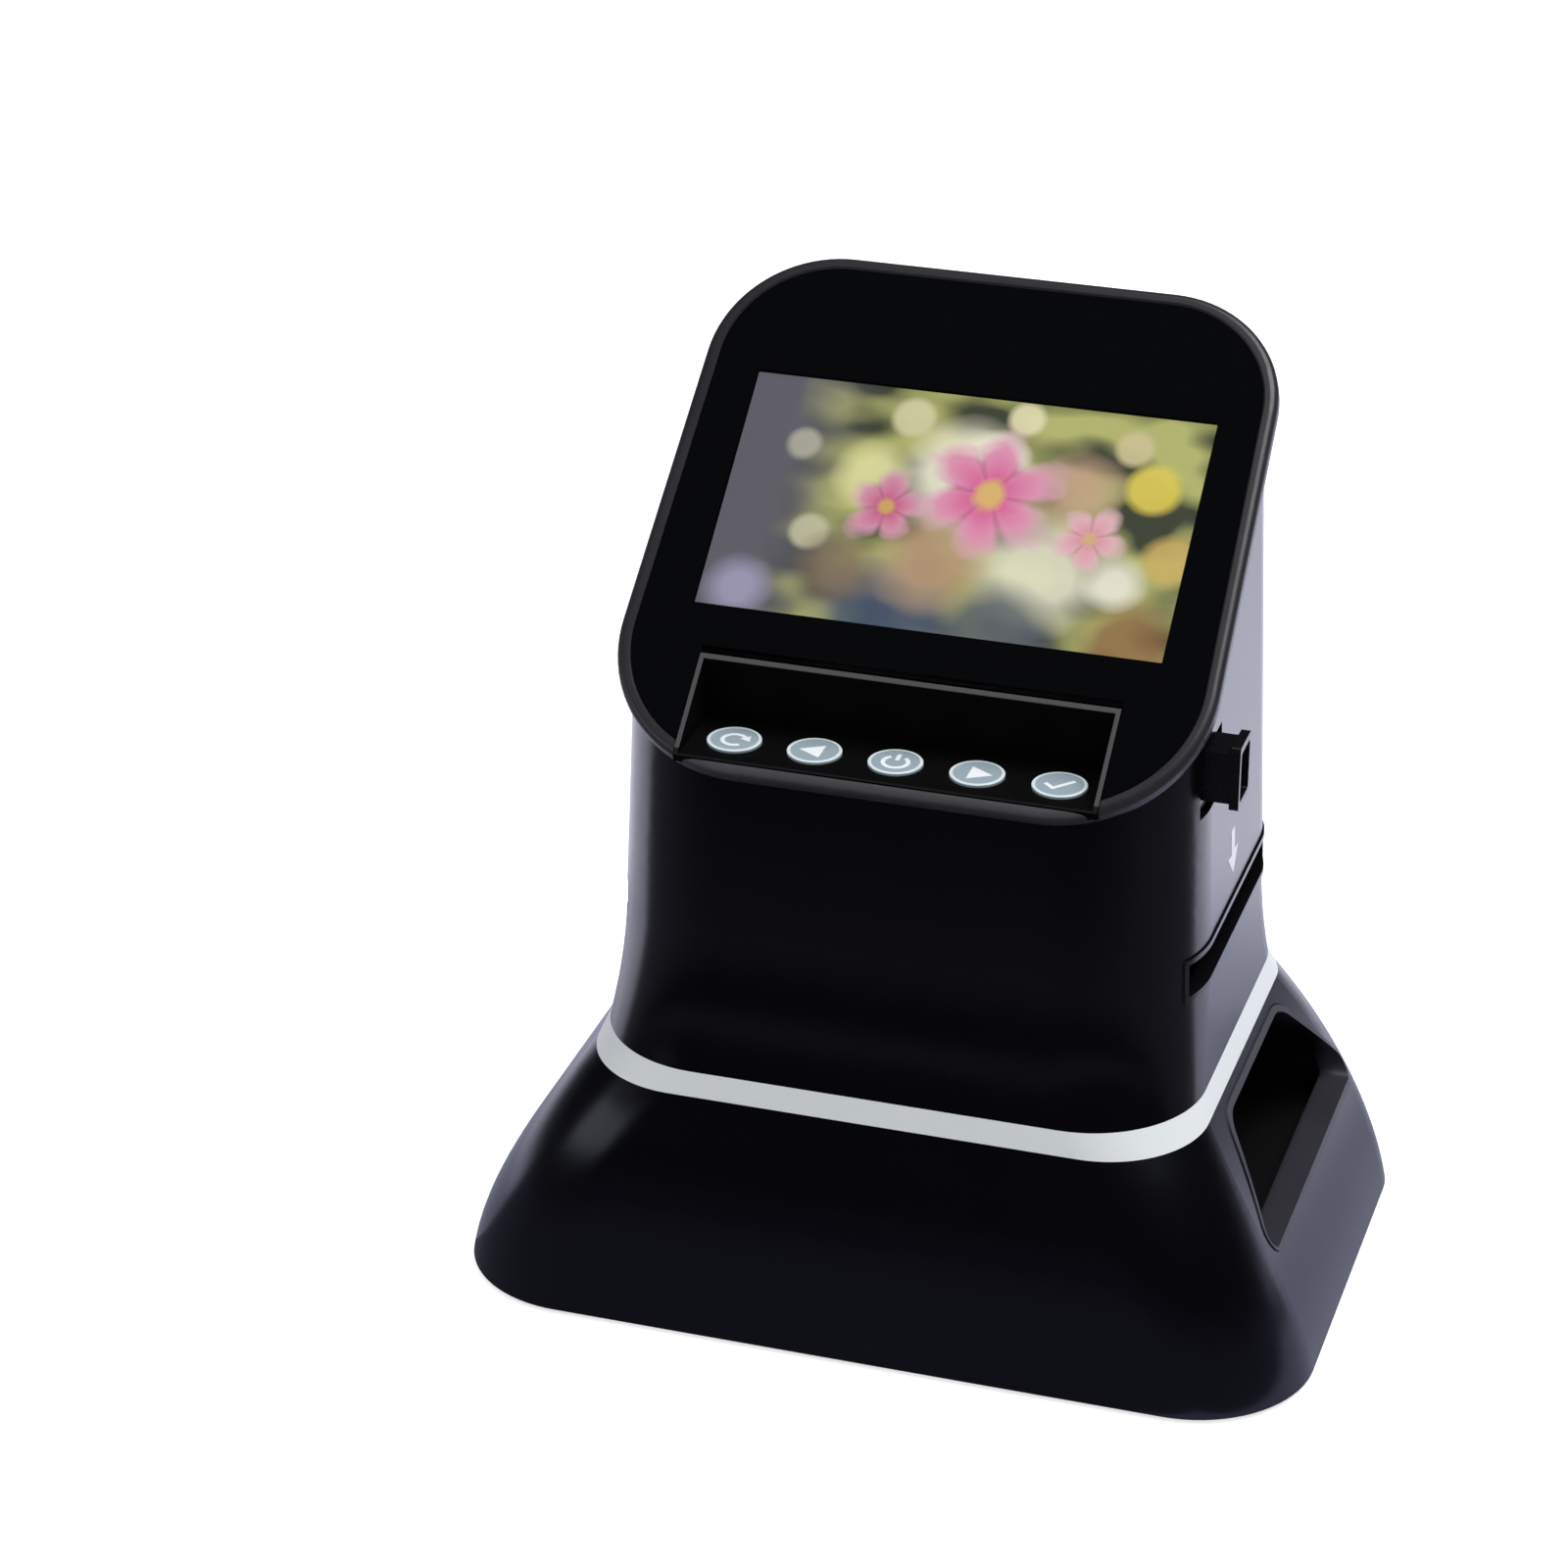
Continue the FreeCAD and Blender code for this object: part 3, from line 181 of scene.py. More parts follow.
def makeFloor():
    bpy.ops.mesh.primitive_plane_add(size=studio["floorSize"], location=(0, 0, 0))
    floor = bpy.context.object
    floor.name = "studioFloor"
    material, tree, out = stageMaterial("floorPaper")
    path = tree.nodes.new("ShaderNodeLightPath")
    diffuse = tree.nodes.new("ShaderNodeBsdfDiffuse")
    paper = mixTones(tree, path.outputs["Is Glossy Ray"], studio["floorColour"],
                     studio["floorMirrored"])
    tree.links.new(paper, diffuse.inputs["Color"])
    glow = tree.nodes.new("ShaderNodeEmission")
    tint = mixTones(tree, path.outputs["Is Camera Ray"], studio["mirrorTint"], (1, 1, 1))
    tree.links.new(tint, glow.inputs["Color"])
    coords = tree.nodes.new("ShaderNodeTexCoord")
    away = lengthOf(tree, coords.outputs["Object"])
    # reflections see the floor darker near the object: a painted shadow
    near = stretchValue(tree, away, *studio["mirrorNear"], 0.0, studio["mirrorGlow"])
    fadeStart, fadeEnd, left = studio["mirrorFar"]
    far = stretchValue(tree, away, fadeStart, fadeEnd, 1.0, left)
    mirrored = linkMath(tree, "MULTIPLY", reflectedRay(tree, path),
                        linkMath(tree, "MULTIPLY", near, far))
    seen = linkMath(tree, "MULTIPLY", path.outputs["Is Camera Ray"], studio["floorGlow"])
    tree.links.new(linkMath(tree, "ADD", seen, mirrored), glow.inputs["Strength"])
    add = tree.nodes.new("ShaderNodeAddShader")
    tree.links.new(diffuse.outputs[0], add.inputs[0])
    tree.links.new(glow.outputs[0], add.inputs[1])
    tree.links.new(add.outputs[0], out.inputs["Surface"])
    floor.data.materials.append(material)
    floor.select_set(False)


def makeCards():
    material, tree, out = stageMaterial("darkCard")
    glow = tree.nodes.new("ShaderNodeEmission")
    glow.inputs["Color"].default_value = (*studio["cardTint"], 1)
    geometry = tree.nodes.new("ShaderNodeNewGeometry")
    place = splitPlace(tree, geometry.outputs["Position"])
    least, added = studio["cardGlow"]
    near = stretchValue(tree, place["Y"], *studio["cardNear"], least, least + added)
    far = stretchValue(tree, place["Y"], *studio["cardFar"], added, 0.0)
    tree.links.new(linkMath(tree, "ADD", near, far), glow.inputs["Strength"])
    tree.links.new(glow.outputs[0], out.inputs["Surface"])
    for name, edge, degrees, length, depth, height in studio["cards"]:
        turn = radians(degrees)
        middle = (edge[0] + sin(turn) * depth / 2, edge[1] - cos(turn) * depth / 2, height)
        bpy.ops.mesh.primitive_plane_add(size=1.0, location=middle, rotation=(0, 0, turn))
        card = bpy.context.object
        card.scale = (length, depth, 1)
        card.name = name
        card.data.materials.append(material)
        card.visible_camera = False
        card.visible_diffuse = False
        card.visible_shadow = False
        card.visible_transmission = False
        card.select_set(False)


def makeLamps():
    for name, place, aim, width, height, watts, mirrored in studio["lamps"]:
        turn = (Vector(aim) - Vector(place)).to_track_quat("-Z", "Y").to_euler()
        bpy.ops.object.light_add(type="AREA", location=place, rotation=turn)
        lamp = bpy.context.object
        lamp.name = name
        lamp.data.shape = "RECTANGLE"
        lamp.data.size = width
        lamp.data.size_y = height
        lamp.data.energy = watts
        lamp.visible_glossy = mirrored
        lamp.select_set(False)


def backdrop(tree, tint, strength):
    node = tree.nodes.new("ShaderNodeBackground")
    node.inputs["Color"].default_value = (*tint, 1)
    node.inputs["Strength"].default_value = strength
    return node


def makeWorld():
    # the camera sees white, reflections see a dark room, and the rest is lit evenly
    world = bpy.data.worlds.new("studioAir")
    world.use_nodes = True
    tree = world.node_tree
    tree.nodes.clear()
    out = tree.nodes.new("ShaderNodeOutputWorld")
    air = backdrop(tree, studio["airTint"], studio["air"])
    white = backdrop(tree, (1, 1, 1), 1.0)
    room = backdrop(tree, studio["roomTint"], studio["ceiling"])
    coords = tree.nodes.new("ShaderNodeTexCoord")
    place = splitPlace(tree, coords.outputs["Generated"])
    low = stretchValue(tree, place["Z"], 0.0, studio["horizonRise"], 1.0, 0.0)
    behind = stretchValue(tree, place["Y"], *studio["horizonBehind"])
    level = stretchValue(tree, linkMath(tree, "MULTIPLY", low, behind), 0.0, 1.0,
                         studio["ceiling"], studio["horizon"])
    tree.links.new(level, room.inputs["Strength"])
    path = tree.nodes.new("ShaderNodeLightPath")
    lit = mixShaders(tree, reflectedRay(tree, path), air.outputs[0], room.outputs[0])
    seen = mixShaders(tree, path.outputs["Is Camera Ray"], lit, white.outputs[0])
    tree.links.new(seen, out.inputs["Surface"])
    bpy.context.scene.world = world
    bpy.context.scene.view_settings.view_transform = "Standard"


makeFloor()
makeCards()
makeLamps()
makeWorld()
print("studio lit")


def newFinish(name):
    material = bpy.data.materials.new(name)
    material.use_nodes = True
    return material, material.node_tree, material.node_tree.nodes["Principled BSDF"]


def objectPlace(tree, scale=(1, 1, 1)):
    coords = tree.nodes.new("ShaderNodeTexCoord")
    mapping = tree.nodes.new("ShaderNodeMapping")
    mapping.inputs["Scale"].default_value = scale
    tree.links.new(coords.outputs["Object"], mapping.inputs["Vector"])
    return mapping.outputs["Vector"]


def facePlace(tree, offset=0.0):
    # place on the leaning face: X across, Y up its slope, Z out of its surface
    coords = tree.nodes.new("ShaderNodeTexCoord")
    mapping = tree.nodes.new("ShaderNodeMapping")
    tilt = radians(face["tilt"])
    mapping.inputs["Rotation"].default_value = (-tilt, 0, 0)
    mapping.inputs["Location"].default_value = (
        -offset,
        -face["y"] * cos(tilt) - face["z"] * sin(tilt),
        face["y"] * sin(tilt) - face["z"] * cos(tilt))
    tree.links.new(coords.outputs["Object"], mapping.inputs["Vector"])
    return mapping.outputs["Vector"], splitPlace(tree, mapping.outputs["Vector"])


def grainOf(tree, place, scale, detail=2.0, rough=0.55):
    texture = tree.nodes.new("ShaderNodeTexNoise")
    texture.inputs["Scale"].default_value = scale
    texture.inputs["Detail"].default_value = detail
    texture.inputs["Roughness"].default_value = rough
    tree.links.new(place, texture.inputs["Vector"])
    return texture.outputs["Fac"]


def raiseBump(tree, shader, height, strength, distance):
    node = tree.nodes.new("ShaderNodeBump")
    node.inputs["Strength"].default_value = strength
    node.inputs["Distance"].default_value = distance
    tree.links.new(height, node.inputs["Height"])
    tree.links.new(node.outputs["Normal"], shader.inputs["Normal"])


def paintOver(material, mask, tone):
    # another colour over the one that the material has, where the mask is 1
    colour = material.node_tree.nodes["Principled BSDF"].inputs["Base Color"]
    below = colour.links[0].from_socket
    material.node_tree.links.new(mixTones(material.node_tree, mask, below, tone), colour)


moulding = {
    "flow": (14.0, 3.0),             # scale and detail of the flow marks
    "flowTint": (0.35, 0.65),        # from where to where they turn the colour into its shade
    "flowGloss": (0.3, 0.7),         # and the gloss from its first to its second share
    "glossShares": (0.92, 1.06),
    "dustScale": 2600.0,
    "dustShows": (0.74, 0.80),
    "dustTint": (1.3, 0.002),        # a speck is the colour times the first, plus the second
    "fineScale": 1600.0,
    "fineGloss": (0.35, 0.65),       # the fine grain dulls by the last share
    "fineDulls": 0.10,
    "rippleScale": 70.0,
    "bump": (0.10, 0.35),            # strength on a smooth mould, and what a full grain adds
    "bumpHeight": 0.00003,
}


def mouldedPlastic(name, colour, shade, rough, grain=0.0, level=0.5, specks=1.0,
                   sheen=(1, 1, 1)):
    # moulded plastic: flow marks in colour and gloss, dust specks, faint waviness and grain
    material, tree, shader = newFinish(name)
    shader.inputs["Specular Tint"].default_value = (*sheen, 1)
    place = objectPlace(tree)
    flow = grainOf(tree, place, *moulding["flow"])
    dustSpots = grainOf(tree, place, moulding["dustScale"], 1.0)
    fine = grainOf(tree, place, moulding["fineScale"])
    ripple = grainOf(tree, place, moulding["rippleScale"])
    tint = mixTones(tree, stretchValue(tree, flow, *moulding["flowTint"]), colour, shade)
    times, plus = moulding["dustTint"]
    dustAndPaintedLight = tuple(channel * times + plus for channel in colour)
    dusty = stretchValue(tree, dustSpots, *moulding["dustShows"], 0.0, specks)
    tree.links.new(mixTones(tree, dusty, tint, dustAndPaintedLight), shader.inputs["Base Color"])
    least, most = moulding["glossShares"]
    gloss = stretchValue(tree, flow, *moulding["flowGloss"], rough * least, rough * most)
    dull = stretchValue(tree, fine, *moulding["fineGloss"], 0.0, rough * moulding["fineDulls"])
    tree.links.new(linkMath(tree, "ADD", gloss, dull), shader.inputs["Roughness"])
    shader.inputs["Specular IOR Level"].default_value = level
    height = linkMath(tree, "ADD", ripple, linkMath(tree, "MULTIPLY", fine, grain))
    smooth, added = moulding["bump"]
    raiseBump(tree, shader, height, smooth + added * grain, moulding["bumpHeight"])
    return material


metalwork = {
    "strokeScale": 1500.0,
    "strokeGloss": (0.3, 0.7),       # the strokes change the roughness between these two shares
    "glossShares": (0.75, 1.25),
    "cloudScale": 90.0,
    "cloudTint": (0.35, 0.65),       # clouds darken the colour to this share
    "dull": 0.86,
    "bump": 0.15,
    "bumpHeight": 0.00002,
}


def workedMetal(name, colour, rough, along=(1, 1, 1)):
    # drawn, ground or rolled metal: fine strokes vary its gloss and height
    material, tree, shader = newFinish(name)
    strokes = grainOf(tree, objectPlace(tree, along), metalwork["strokeScale"])
    cloud = grainOf(tree, objectPlace(tree), metalwork["cloudScale"])
    dull = tuple(channel * metalwork["dull"] for channel in colour)
    tint = mixTones(tree, stretchValue(tree, cloud, *metalwork["cloudTint"]), colour, dull)
    tree.links.new(tint, shader.inputs["Base Color"])
    shader.inputs["Metallic"].default_value = 1.0
    least, most = metalwork["glossShares"]
    gloss = stretchValue(tree, strokes, *metalwork["strokeGloss"], rough * least, rough * most)
    tree.links.new(gloss, shader.inputs["Roughness"])
    raiseBump(tree, shader, strokes, metalwork["bump"], metalwork["bumpHeight"])
    return material


lacquer = {
    "trackScale": 420.0,
    "trackEdge": (0.42, 0.5),
    "weaveScale": 700.0,
    "weaveShare": 0.2,               # how high the weave is beside the tracks
    "rough": 0.38,
    "bump": 0.3,
    "bumpHeight": 0.00004,
}


def circuitBoard(name, mask, track):
    # lacquer over copper tracks, with the glass weave below it
    material, tree, shader = newFinish(name)
    place = objectPlace(tree)
    cells = tree.nodes.new("ShaderNodeTexVoronoi")
    cells.distance = "MANHATTAN"
    cells.inputs["Scale"].default_value = lacquer["trackScale"]
    tree.links.new(place, cells.inputs["Vector"])
    lines = stretchValue(tree, cells.outputs["Distance"], *lacquer["trackEdge"])
    tree.links.new(mixTones(tree, lines, mask, track), shader.inputs["Base Color"])
    weave = tree.nodes.new("ShaderNodeTexWave")
    weave.inputs["Scale"].default_value = lacquer["weaveScale"]
    tree.links.new(place, weave.inputs["Vector"])
    shader.inputs["Roughness"].default_value = lacquer["rough"]
    threads = linkMath(tree, "MULTIPLY", weave.outputs["Fac"], lacquer["weaveShare"])
    raiseBump(tree, shader, linkMath(tree, "ADD", lines, threads), lacquer["bump"],
              lacquer["bumpHeight"])
    return material


# a faint smear on polished glass: its scale and detail, where it shows, and how much it dulls
smear = {"pattern": (40.0, 4.0), "shows": (0.45, 0.75), "dulls": 0.03}


def clearGlass(tree, shader, place, colour, rough, ior):
    shader.inputs["Base Color"].default_value = (*colour, 1)
    shader.inputs["Transmission Weight"].default_value = 1.0
    shader.inputs["IOR"].default_value = ior
    gloss = stretchValue(tree, grainOf(tree, place, *smear["pattern"]), *smear["shows"],
                         rough, rough + smear["dulls"])
    tree.links.new(gloss, shader.inputs["Roughness"])
    return gloss


def lensGlass():
    material, tree, shader = newFinish("lensGlass")
    clearGlass(tree, shader, objectPlace(tree), (0.92, 0.90, 0.98), 0.01, 1.6)
    return material


screen = {
    "width": 0.09504,
    "height": 0.05386,
    "offset": 0.0005,                # of its middle from the face's, to the right
    "depth": 0.001775,               # of the picture below the face
    "glow": 0.9,
    "inkScale": 300.0,
    "inks": ((0.0016, 0.0018, 0.0022), (0.0022, 0.0024, 0.0030)),
}


def coverGlass():
    # clear over the lit picture, printed black all round it
    material, tree, clear = newFinish("coverGlass")
    place, split = facePlace(tree, screen["offset"])
    gloss = clearGlass(tree, clear, place, (0.97, 0.98, 0.98), 0.02, 1.45)
    printed = tree.nodes.new("ShaderNodeBsdfPrincipled")
    ink = mixTones(tree, grainOf(tree, place, screen["inkScale"]), *screen["inks"])
    tree.links.new(ink, printed.inputs["Base Color"])
    tree.links.new(gloss, printed.inputs["Roughness"])
    across = linkMath(tree, "ABSOLUTE", split["X"])
    along = linkMath(tree, "ABSOLUTE", split["Y"])
    window = linkMath(tree, "MULTIPLY", linkMath(tree, "LESS_THAN", across, screen["width"] / 2),
                      linkMath(tree, "LESS_THAN", along, screen["height"] / 2))
    mixed = mixShaders(tree, window, printed.outputs[0], clear.outputs[0])
    tree.links.new(mixed, tree.nodes["Material Output"].inputs["Surface"])
    return material


tray = {
    "inside": ((0.0010, 0.0010, 0.0012), (0.0014, 0.0014, 0.0017)),
    "edgeDepth": (0.00004, 0.00014),    # over the face: where the paler edge starts, and is full
    "frontEdge": (-0.0592, -0.0588),    # up the slope: the front bar, where it is less pale
    "frontShare": 0.1,
    "edgeScale": 800.0,
    "edge": ((0.060, 0.060, 0.064), (0.080, 0.080, 0.084)),
}


def trayPlastic():
    # deep black moulding, matt inside; its edge is a paler painted highlight, kept faint on the
    # front one
    material = mouldedPlastic("trayPlastic", *tray["inside"], 0.70, 0.5, 0.08)
    tree = material.node_tree
    place, split = facePlace(tree)
    edge = stretchValue(tree, split["Z"], *tray["edgeDepth"])
    behind = stretchValue(tree, split["Y"], *tray["frontEdge"], tray["frontShare"], 1.0)
    pale = mixTones(tree, grainOf(tree, place, tray["edgeScale"]), *tray["edge"])
    # a painted highlight along the edge, faint along the front
    paintOver(material, linkMath(tree, "MULTIPLY", edge, behind), pale)
    return material


rim = {
    "even": ((0.018, 0.018, 0.022), (0.023, 0.023, 0.027)),
    "front": (-0.0606, -0.0598),     # up the slope: the straight front
    "frontHalf": (0.041, 0.044),     # where it ends to both sides
    "frontTop": (-0.0009, -0.0003),    # over the face: its upper side
    "highlightScale": 500.0,
    "paleTone": ((0.050, 0.050, 0.056), (0.066, 0.066, 0.073)),
}


def rimPlastic():
    # satin moulding, with a painted highlight along the upper side of the straight front under the
    # buttons
    material = mouldedPlastic("rimPlastic", *rim["even"], 0.34, 0.5)
    tree = material.node_tree
    place, split = facePlace(tree)
    across = linkMath(tree, "ABSOLUTE", split["X"])
    front = linkMath(tree, "MULTIPLY", stretchValue(tree, split["Y"], *rim["front"], 1.0, 0.0),
                     stretchValue(tree, across, *rim["frontHalf"], 1.0, 0.0))
    front = linkMath(tree, "MULTIPLY", front, stretchValue(tree, split["Z"], *rim["frontTop"]))
    # the paler tone is a painted highlight on the front's upper side
    pale = mixTones(tree, grainOf(tree, place, rim["highlightScale"]), *rim["paleTone"])
    paintOver(material, front, pale)
    return material


liner = {
    "deep": ((0.0022, 0.0022, 0.0028), (0.0030, 0.0030, 0.0038)),
    "sillOut": (0.0715, 0.0745),     # the sill starts this far out
    "sillUp": (0.034, 0.040),        # and ends this high
    "roofUp": (0.0385, 0.0455),      # the roof starts this high
    "roofOut": (0.052, 0.064),       # and this far out
    "roofShare": 0.9,
    # the grey below is painted light on the sill and the roof
    "paintedLightPattern": (60.0, 4.0),
    "dustAndPaintedLight": ((0.020, 0.020, 0.027), (0.036, 0.036, 0.046)),
}


def linerPlastic():
    # deep black inside the pocket, with a grey of painted light on its sill and under its roof
    material = mouldedPlastic("linerPlastic", *liner["deep"], 0.34, 0.3, 0.4)
    tree = material.node_tree
    place = objectPlace(tree)
    split = splitPlace(tree, place)
    sill = linkMath(tree, "MULTIPLY", stretchValue(tree, split["X"], *liner["sillOut"]),
                    stretchValue(tree, split["Z"], *liner["sillUp"], 1.0, 0.0))
    roof = stretchValue(tree, split["Z"], *liner["roofUp"], 0.0, liner["roofShare"])
    roof = linkMath(tree, "MULTIPLY", roof, stretchValue(tree, split["X"], *liner["roofOut"]))
    # painted light: the sill and the roof in a lit grey
    pale = mixTones(tree, grainOf(tree, place, *liner["paintedLightPattern"]), *liner["dustAndPaintedLight"])
    paintOver(material, linkMath(tree, "MAXIMUM", sill, roof), pale)
    return material


dishDepth = 0.0002
buttons = {
    "dishFloor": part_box("ok_button")[1][2] - dishDepth,
    "even": ((0.30, 0.385, 0.425), (0.32, 0.405, 0.445)),
    "paleTone": (0.70, 0.77, 0.80),
    "ringFrom": 0.00003,             # over the dish's floor
    "ringShare": 0.8,                # of the dish's depth, where the paler ring is full
}


def buttonPlastic():
    # pale moulding, lighter on the ring round the dish
    material = mouldedPlastic("buttonPlastic", *buttons["even"], 0.34, 0.4)
    tree = material.node_tree
    coords = tree.nodes.new("ShaderNodeTexCoord")
    split = splitPlace(tree, coords.outputs["Object"])
    floor = buttons["dishFloor"]
    ring = stretchValue(tree, split["Z"], floor + buttons["ringFrom"],
                        floor + dishDepth * buttons["ringShare"])
    paintOver(material, ring, buttons["paleTone"])
    return material


finishes = [
    # the material, and the pieces that have it
    (mouldedPlastic("shellBlack", (0.0009, 0.0009, 0.0016), (0.0013, 0.0013, 0.0021), 0.20, 0.03,
                    specks=0.3),
     ["tower_shell"]),
    (mouldedPlastic("baseBlack", (0.0009, 0.0009, 0.0018), (0.0013, 0.0013, 0.0023), 0.23, 0.03,
                    specks=0.3, sheen=(0.80, 0.84, 1.0)),
     ["base_shell"]),
    (rimPlastic(), ["face_frame"]),
    (trayPlastic(), ["button_tray"]),
    (linerPlastic(), ["pocket_liner"]),
    (mouldedPlastic("satinBlack", (0.005, 0.005, 0.0065), (0.0065, 0.0065, 0.008), 0.28, 0.3),
     ["rear_cover"]),
    (mouldedPlastic("leverBlack", (0.0035, 0.0035, 0.0050), (0.0048, 0.0048, 0.0062), 0.27, 0.1,
                    specks=0.2),
     ["format_lever"]),
    (mouldedPlastic("bezelBlack", (0.0030, 0.0030, 0.0040), (0.0045, 0.0045, 0.0055), 0.22, 0.1),
     ["slot_bezel_right", "slot_bezel_left"]),
    (mouldedPlastic("mattBlack", (0.012, 0.012, 0.013), (0.016, 0.016, 0.017), 0.55, 1.0),
     ["base_plate", "lower_film_guide", "upper_film_guide", "lens_carriage", "card_socket",
      "key_switches"]),
    (mouldedPlastic("bandWhite", (0.72, 0.75, 0.76), (0.75, 0.78, 0.79), 0.42, 0.4),
     ["light_band"]),
    (buttonPlastic(),
     ["clear_button", "left_button", "power_button", "right_button", "ok_button"]),
    (mouldedPlastic("boxWhite", (0.72, 0.72, 0.71), (0.76, 0.76, 0.75), 0.6, 0.8),
     ["light_box"]),
    (mouldedPlastic("opalWhite", (0.80, 0.81, 0.82), (0.84, 0.85, 0.86), 0.45, 0.2),
     ["diffuser"]),
    (mouldedPlastic("emitterYellow", (0.78, 0.66, 0.22), (0.85, 0.74, 0.30), 0.4, 0.2),
     ["light_emitters"]),
    (mouldedPlastic("footRubber", (0.014, 0.014, 0.014), (0.022, 0.022, 0.021), 0.75, 1.0),
     ["rubber_feet"]),
    (mouldedPlastic("panelBlack", (0.0015, 0.0015, 0.002), (0.002, 0.002, 0.0026), 0.30, 0.1),
     ["display_module"]),
    (mouldedPlastic("sensorGlass", (0.02, 0.03, 0.05), (0.03, 0.05, 0.08), 0.08),
     ["image_sensor"]),
    (workedMetal("screwSteel", (0.56, 0.56, 0.55), 0.32),
     ["base_screws", "tower_screws", "key_board_screws", "main_board_posts", "data_socket"]),
    (workedMetal("screwBlack", (0.05, 0.05, 0.055), 0.34), ["rear_cover_screws"]),
    (workedMetal("rodSteel", (0.68, 0.68, 0.70), 0.14, (40, 40, 1)), ["guide_rods"]),
    (workedMetal("springSteel", (0.55, 0.54, 0.50), 0.26, (1, 1, 30)), ["detent_spring"]),
    (workedMetal("sheetSteel", (0.52, 0.52, 0.53), 0.30, (30, 1, 1)), ["display_frame"]),
    (workedMetal("castAluminium", (0.60, 0.61, 0.63), 0.42), ["optics_bridge"]),
    (workedMetal("blackAnodised", (0.03, 0.03, 0.034), 0.36), ["lens_barrel"]),
    (circuitBoard("boardGreen", (0.01, 0.10, 0.045), (0.03, 0.19, 0.08)),
     ["main_board", "key_board", "sensor_board"]),
    (circuitBoard("boardWhite", (0.70, 0.70, 0.68), (0.62, 0.62, 0.58)), ["led_board"]),
    (coverGlass(), ["screen_glass"]),
    (lensGlass(), ["front_lens"]),
]
unfinished = set(nodes)
for material, names in finishes:
    for name in names:
        nodes[name].data.materials.clear()
        nodes[name].data.materials.append(material)
        unfinished.discard(name)
print("finishes given, left over:", sorted(unfinished))


def settle(piece, name, place, body, material):
    # puts the finished piece in its place, in its mesh, and hands it to its body
    bpy.ops.object.mode_set(mode="OBJECT")
    piece.name = name
    piece.data.transform(place @ piece.matrix_world)
    piece.matrix_world = Matrix.Identity(4)
    piece.data.materials.clear()
    piece.data.materials.append(material)
    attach(piece, body)
    piece.select_set(False)


garden = {
    "leafDark": (0.05, 0.06, 0.035),
    "leafLight": (0.52, 0.53, 0.18),
    "leafPattern": (6.0, 1.0, 0.3),
    "leafEdge": (0.38, 0.62),
    "wall": (0.13, 0.125, 0.15),
    "wallEdge": (0.16, 0.34),
    "warpScale": 5.0,                # an unevenness in every outline
    "wallWarp": 0.12,
    "patchWarp": 0.8,                # a share of the patch's softness
    "patchCover": 0.85,
    "patches": [
        # across, up, radius, softness, colour: far lights and foliage out of focus
        (0.50, 0.66, 0.20, 0.16, (1.00, 0.96, 0.74)),
        (0.70, 0.30, 0.20, 0.16, (0.92, 0.90, 0.66)),
        (0.30, 0.62, 0.12, 0.09, (0.86, 0.84, 0.40)),
        (0.90, 0.70, 0.10, 0.04, (0.86, 0.70, 0.10)),
        (0.97, 0.42, 0.10, 0.05, (0.70, 0.50, 0.14)),
        (0.84, 0.86, 0.07, 0.03, (0.72, 0.62, 0.34)),
        (0.20, 0.36, 0.07, 0.03, (0.62, 0.60, 0.40)),
        (0.36, 0.88, 0.08, 0.03, (0.74, 0.72, 0.42)),
        (0.14, 0.72, 0.06, 0.03, (0.50, 0.48, 0.40)),
        (0.60, 0.93, 0.07, 0.03, (0.90, 0.84, 0.52)),
        (0.40, 0.04, 0.24, 0.14, (0.07, 0.10, 0.17)),
        (0.64, 0.02, 0.20, 0.12, (0.09, 0.11, 0.15)),
        (0.92, 0.06, 0.15, 0.10, (0.30, 0.15, 0.06)),
        (0.08, 0.10, 0.10, 0.09, (0.42, 0.38, 0.56)),
        (0.47, 0.30, 0.17, 0.14, (0.58, 0.38, 0.22)),
        (0.74, 0.66, 0.13, 0.12, (0.66, 0.44, 0.28)),
        (0.28, 0.22, 0.12, 0.12, (0.26, 0.19, 0.12)),
        (0.56, 0.76, 0.09, 0.08, (1.00, 0.98, 0.84)),
        (0.86, 0.30, 0.09, 0.08, (0.98, 0.95, 0.80)),
    ],
    "blossoms": [
        # across, up, radius, petals, turn, petal colour, heart colour
        (0.35, 0.50, 0.150, 5, 0.4, (0.66, 0.10, 0.26), (0.70, 0.42, 0.14)),
        (0.56, 0.60, 0.260, 6, 0.1, (0.80, 0.12, 0.34), (0.82, 0.52, 0.18)),
        (0.79, 0.47, 0.130, 5, 0.9, (0.84, 0.34, 0.42), (0.76, 0.48, 0.26)),
    ],
    "raggedScale": 9.0,
    "ragged": (0.3, 0.7, 0.86, 1.14),    # how far it pulls a petal's outline in and out
    "notch": 0.66,                   # a blossom's radius between two petals
    "heart": (0.16, 0.30),           # shares of the radius: where the heart ends
    "paleFrom": 0.2,                 # share of a petal's length from which it gets paler
    "paleTint": (0.60, 0.38),        # the petal's colour times the first, plus the second
    "crease": (0.0, 0.45, 0.5, 0.0),    # a darker crease between two petals
    "creaseTint": 0.55,
    "petalEdge": (0.74, 1.16),       # shares of the length: where the soft edge is
    "base": (0.01, 0.01, 0.012),
    "rough": 0.4,
}


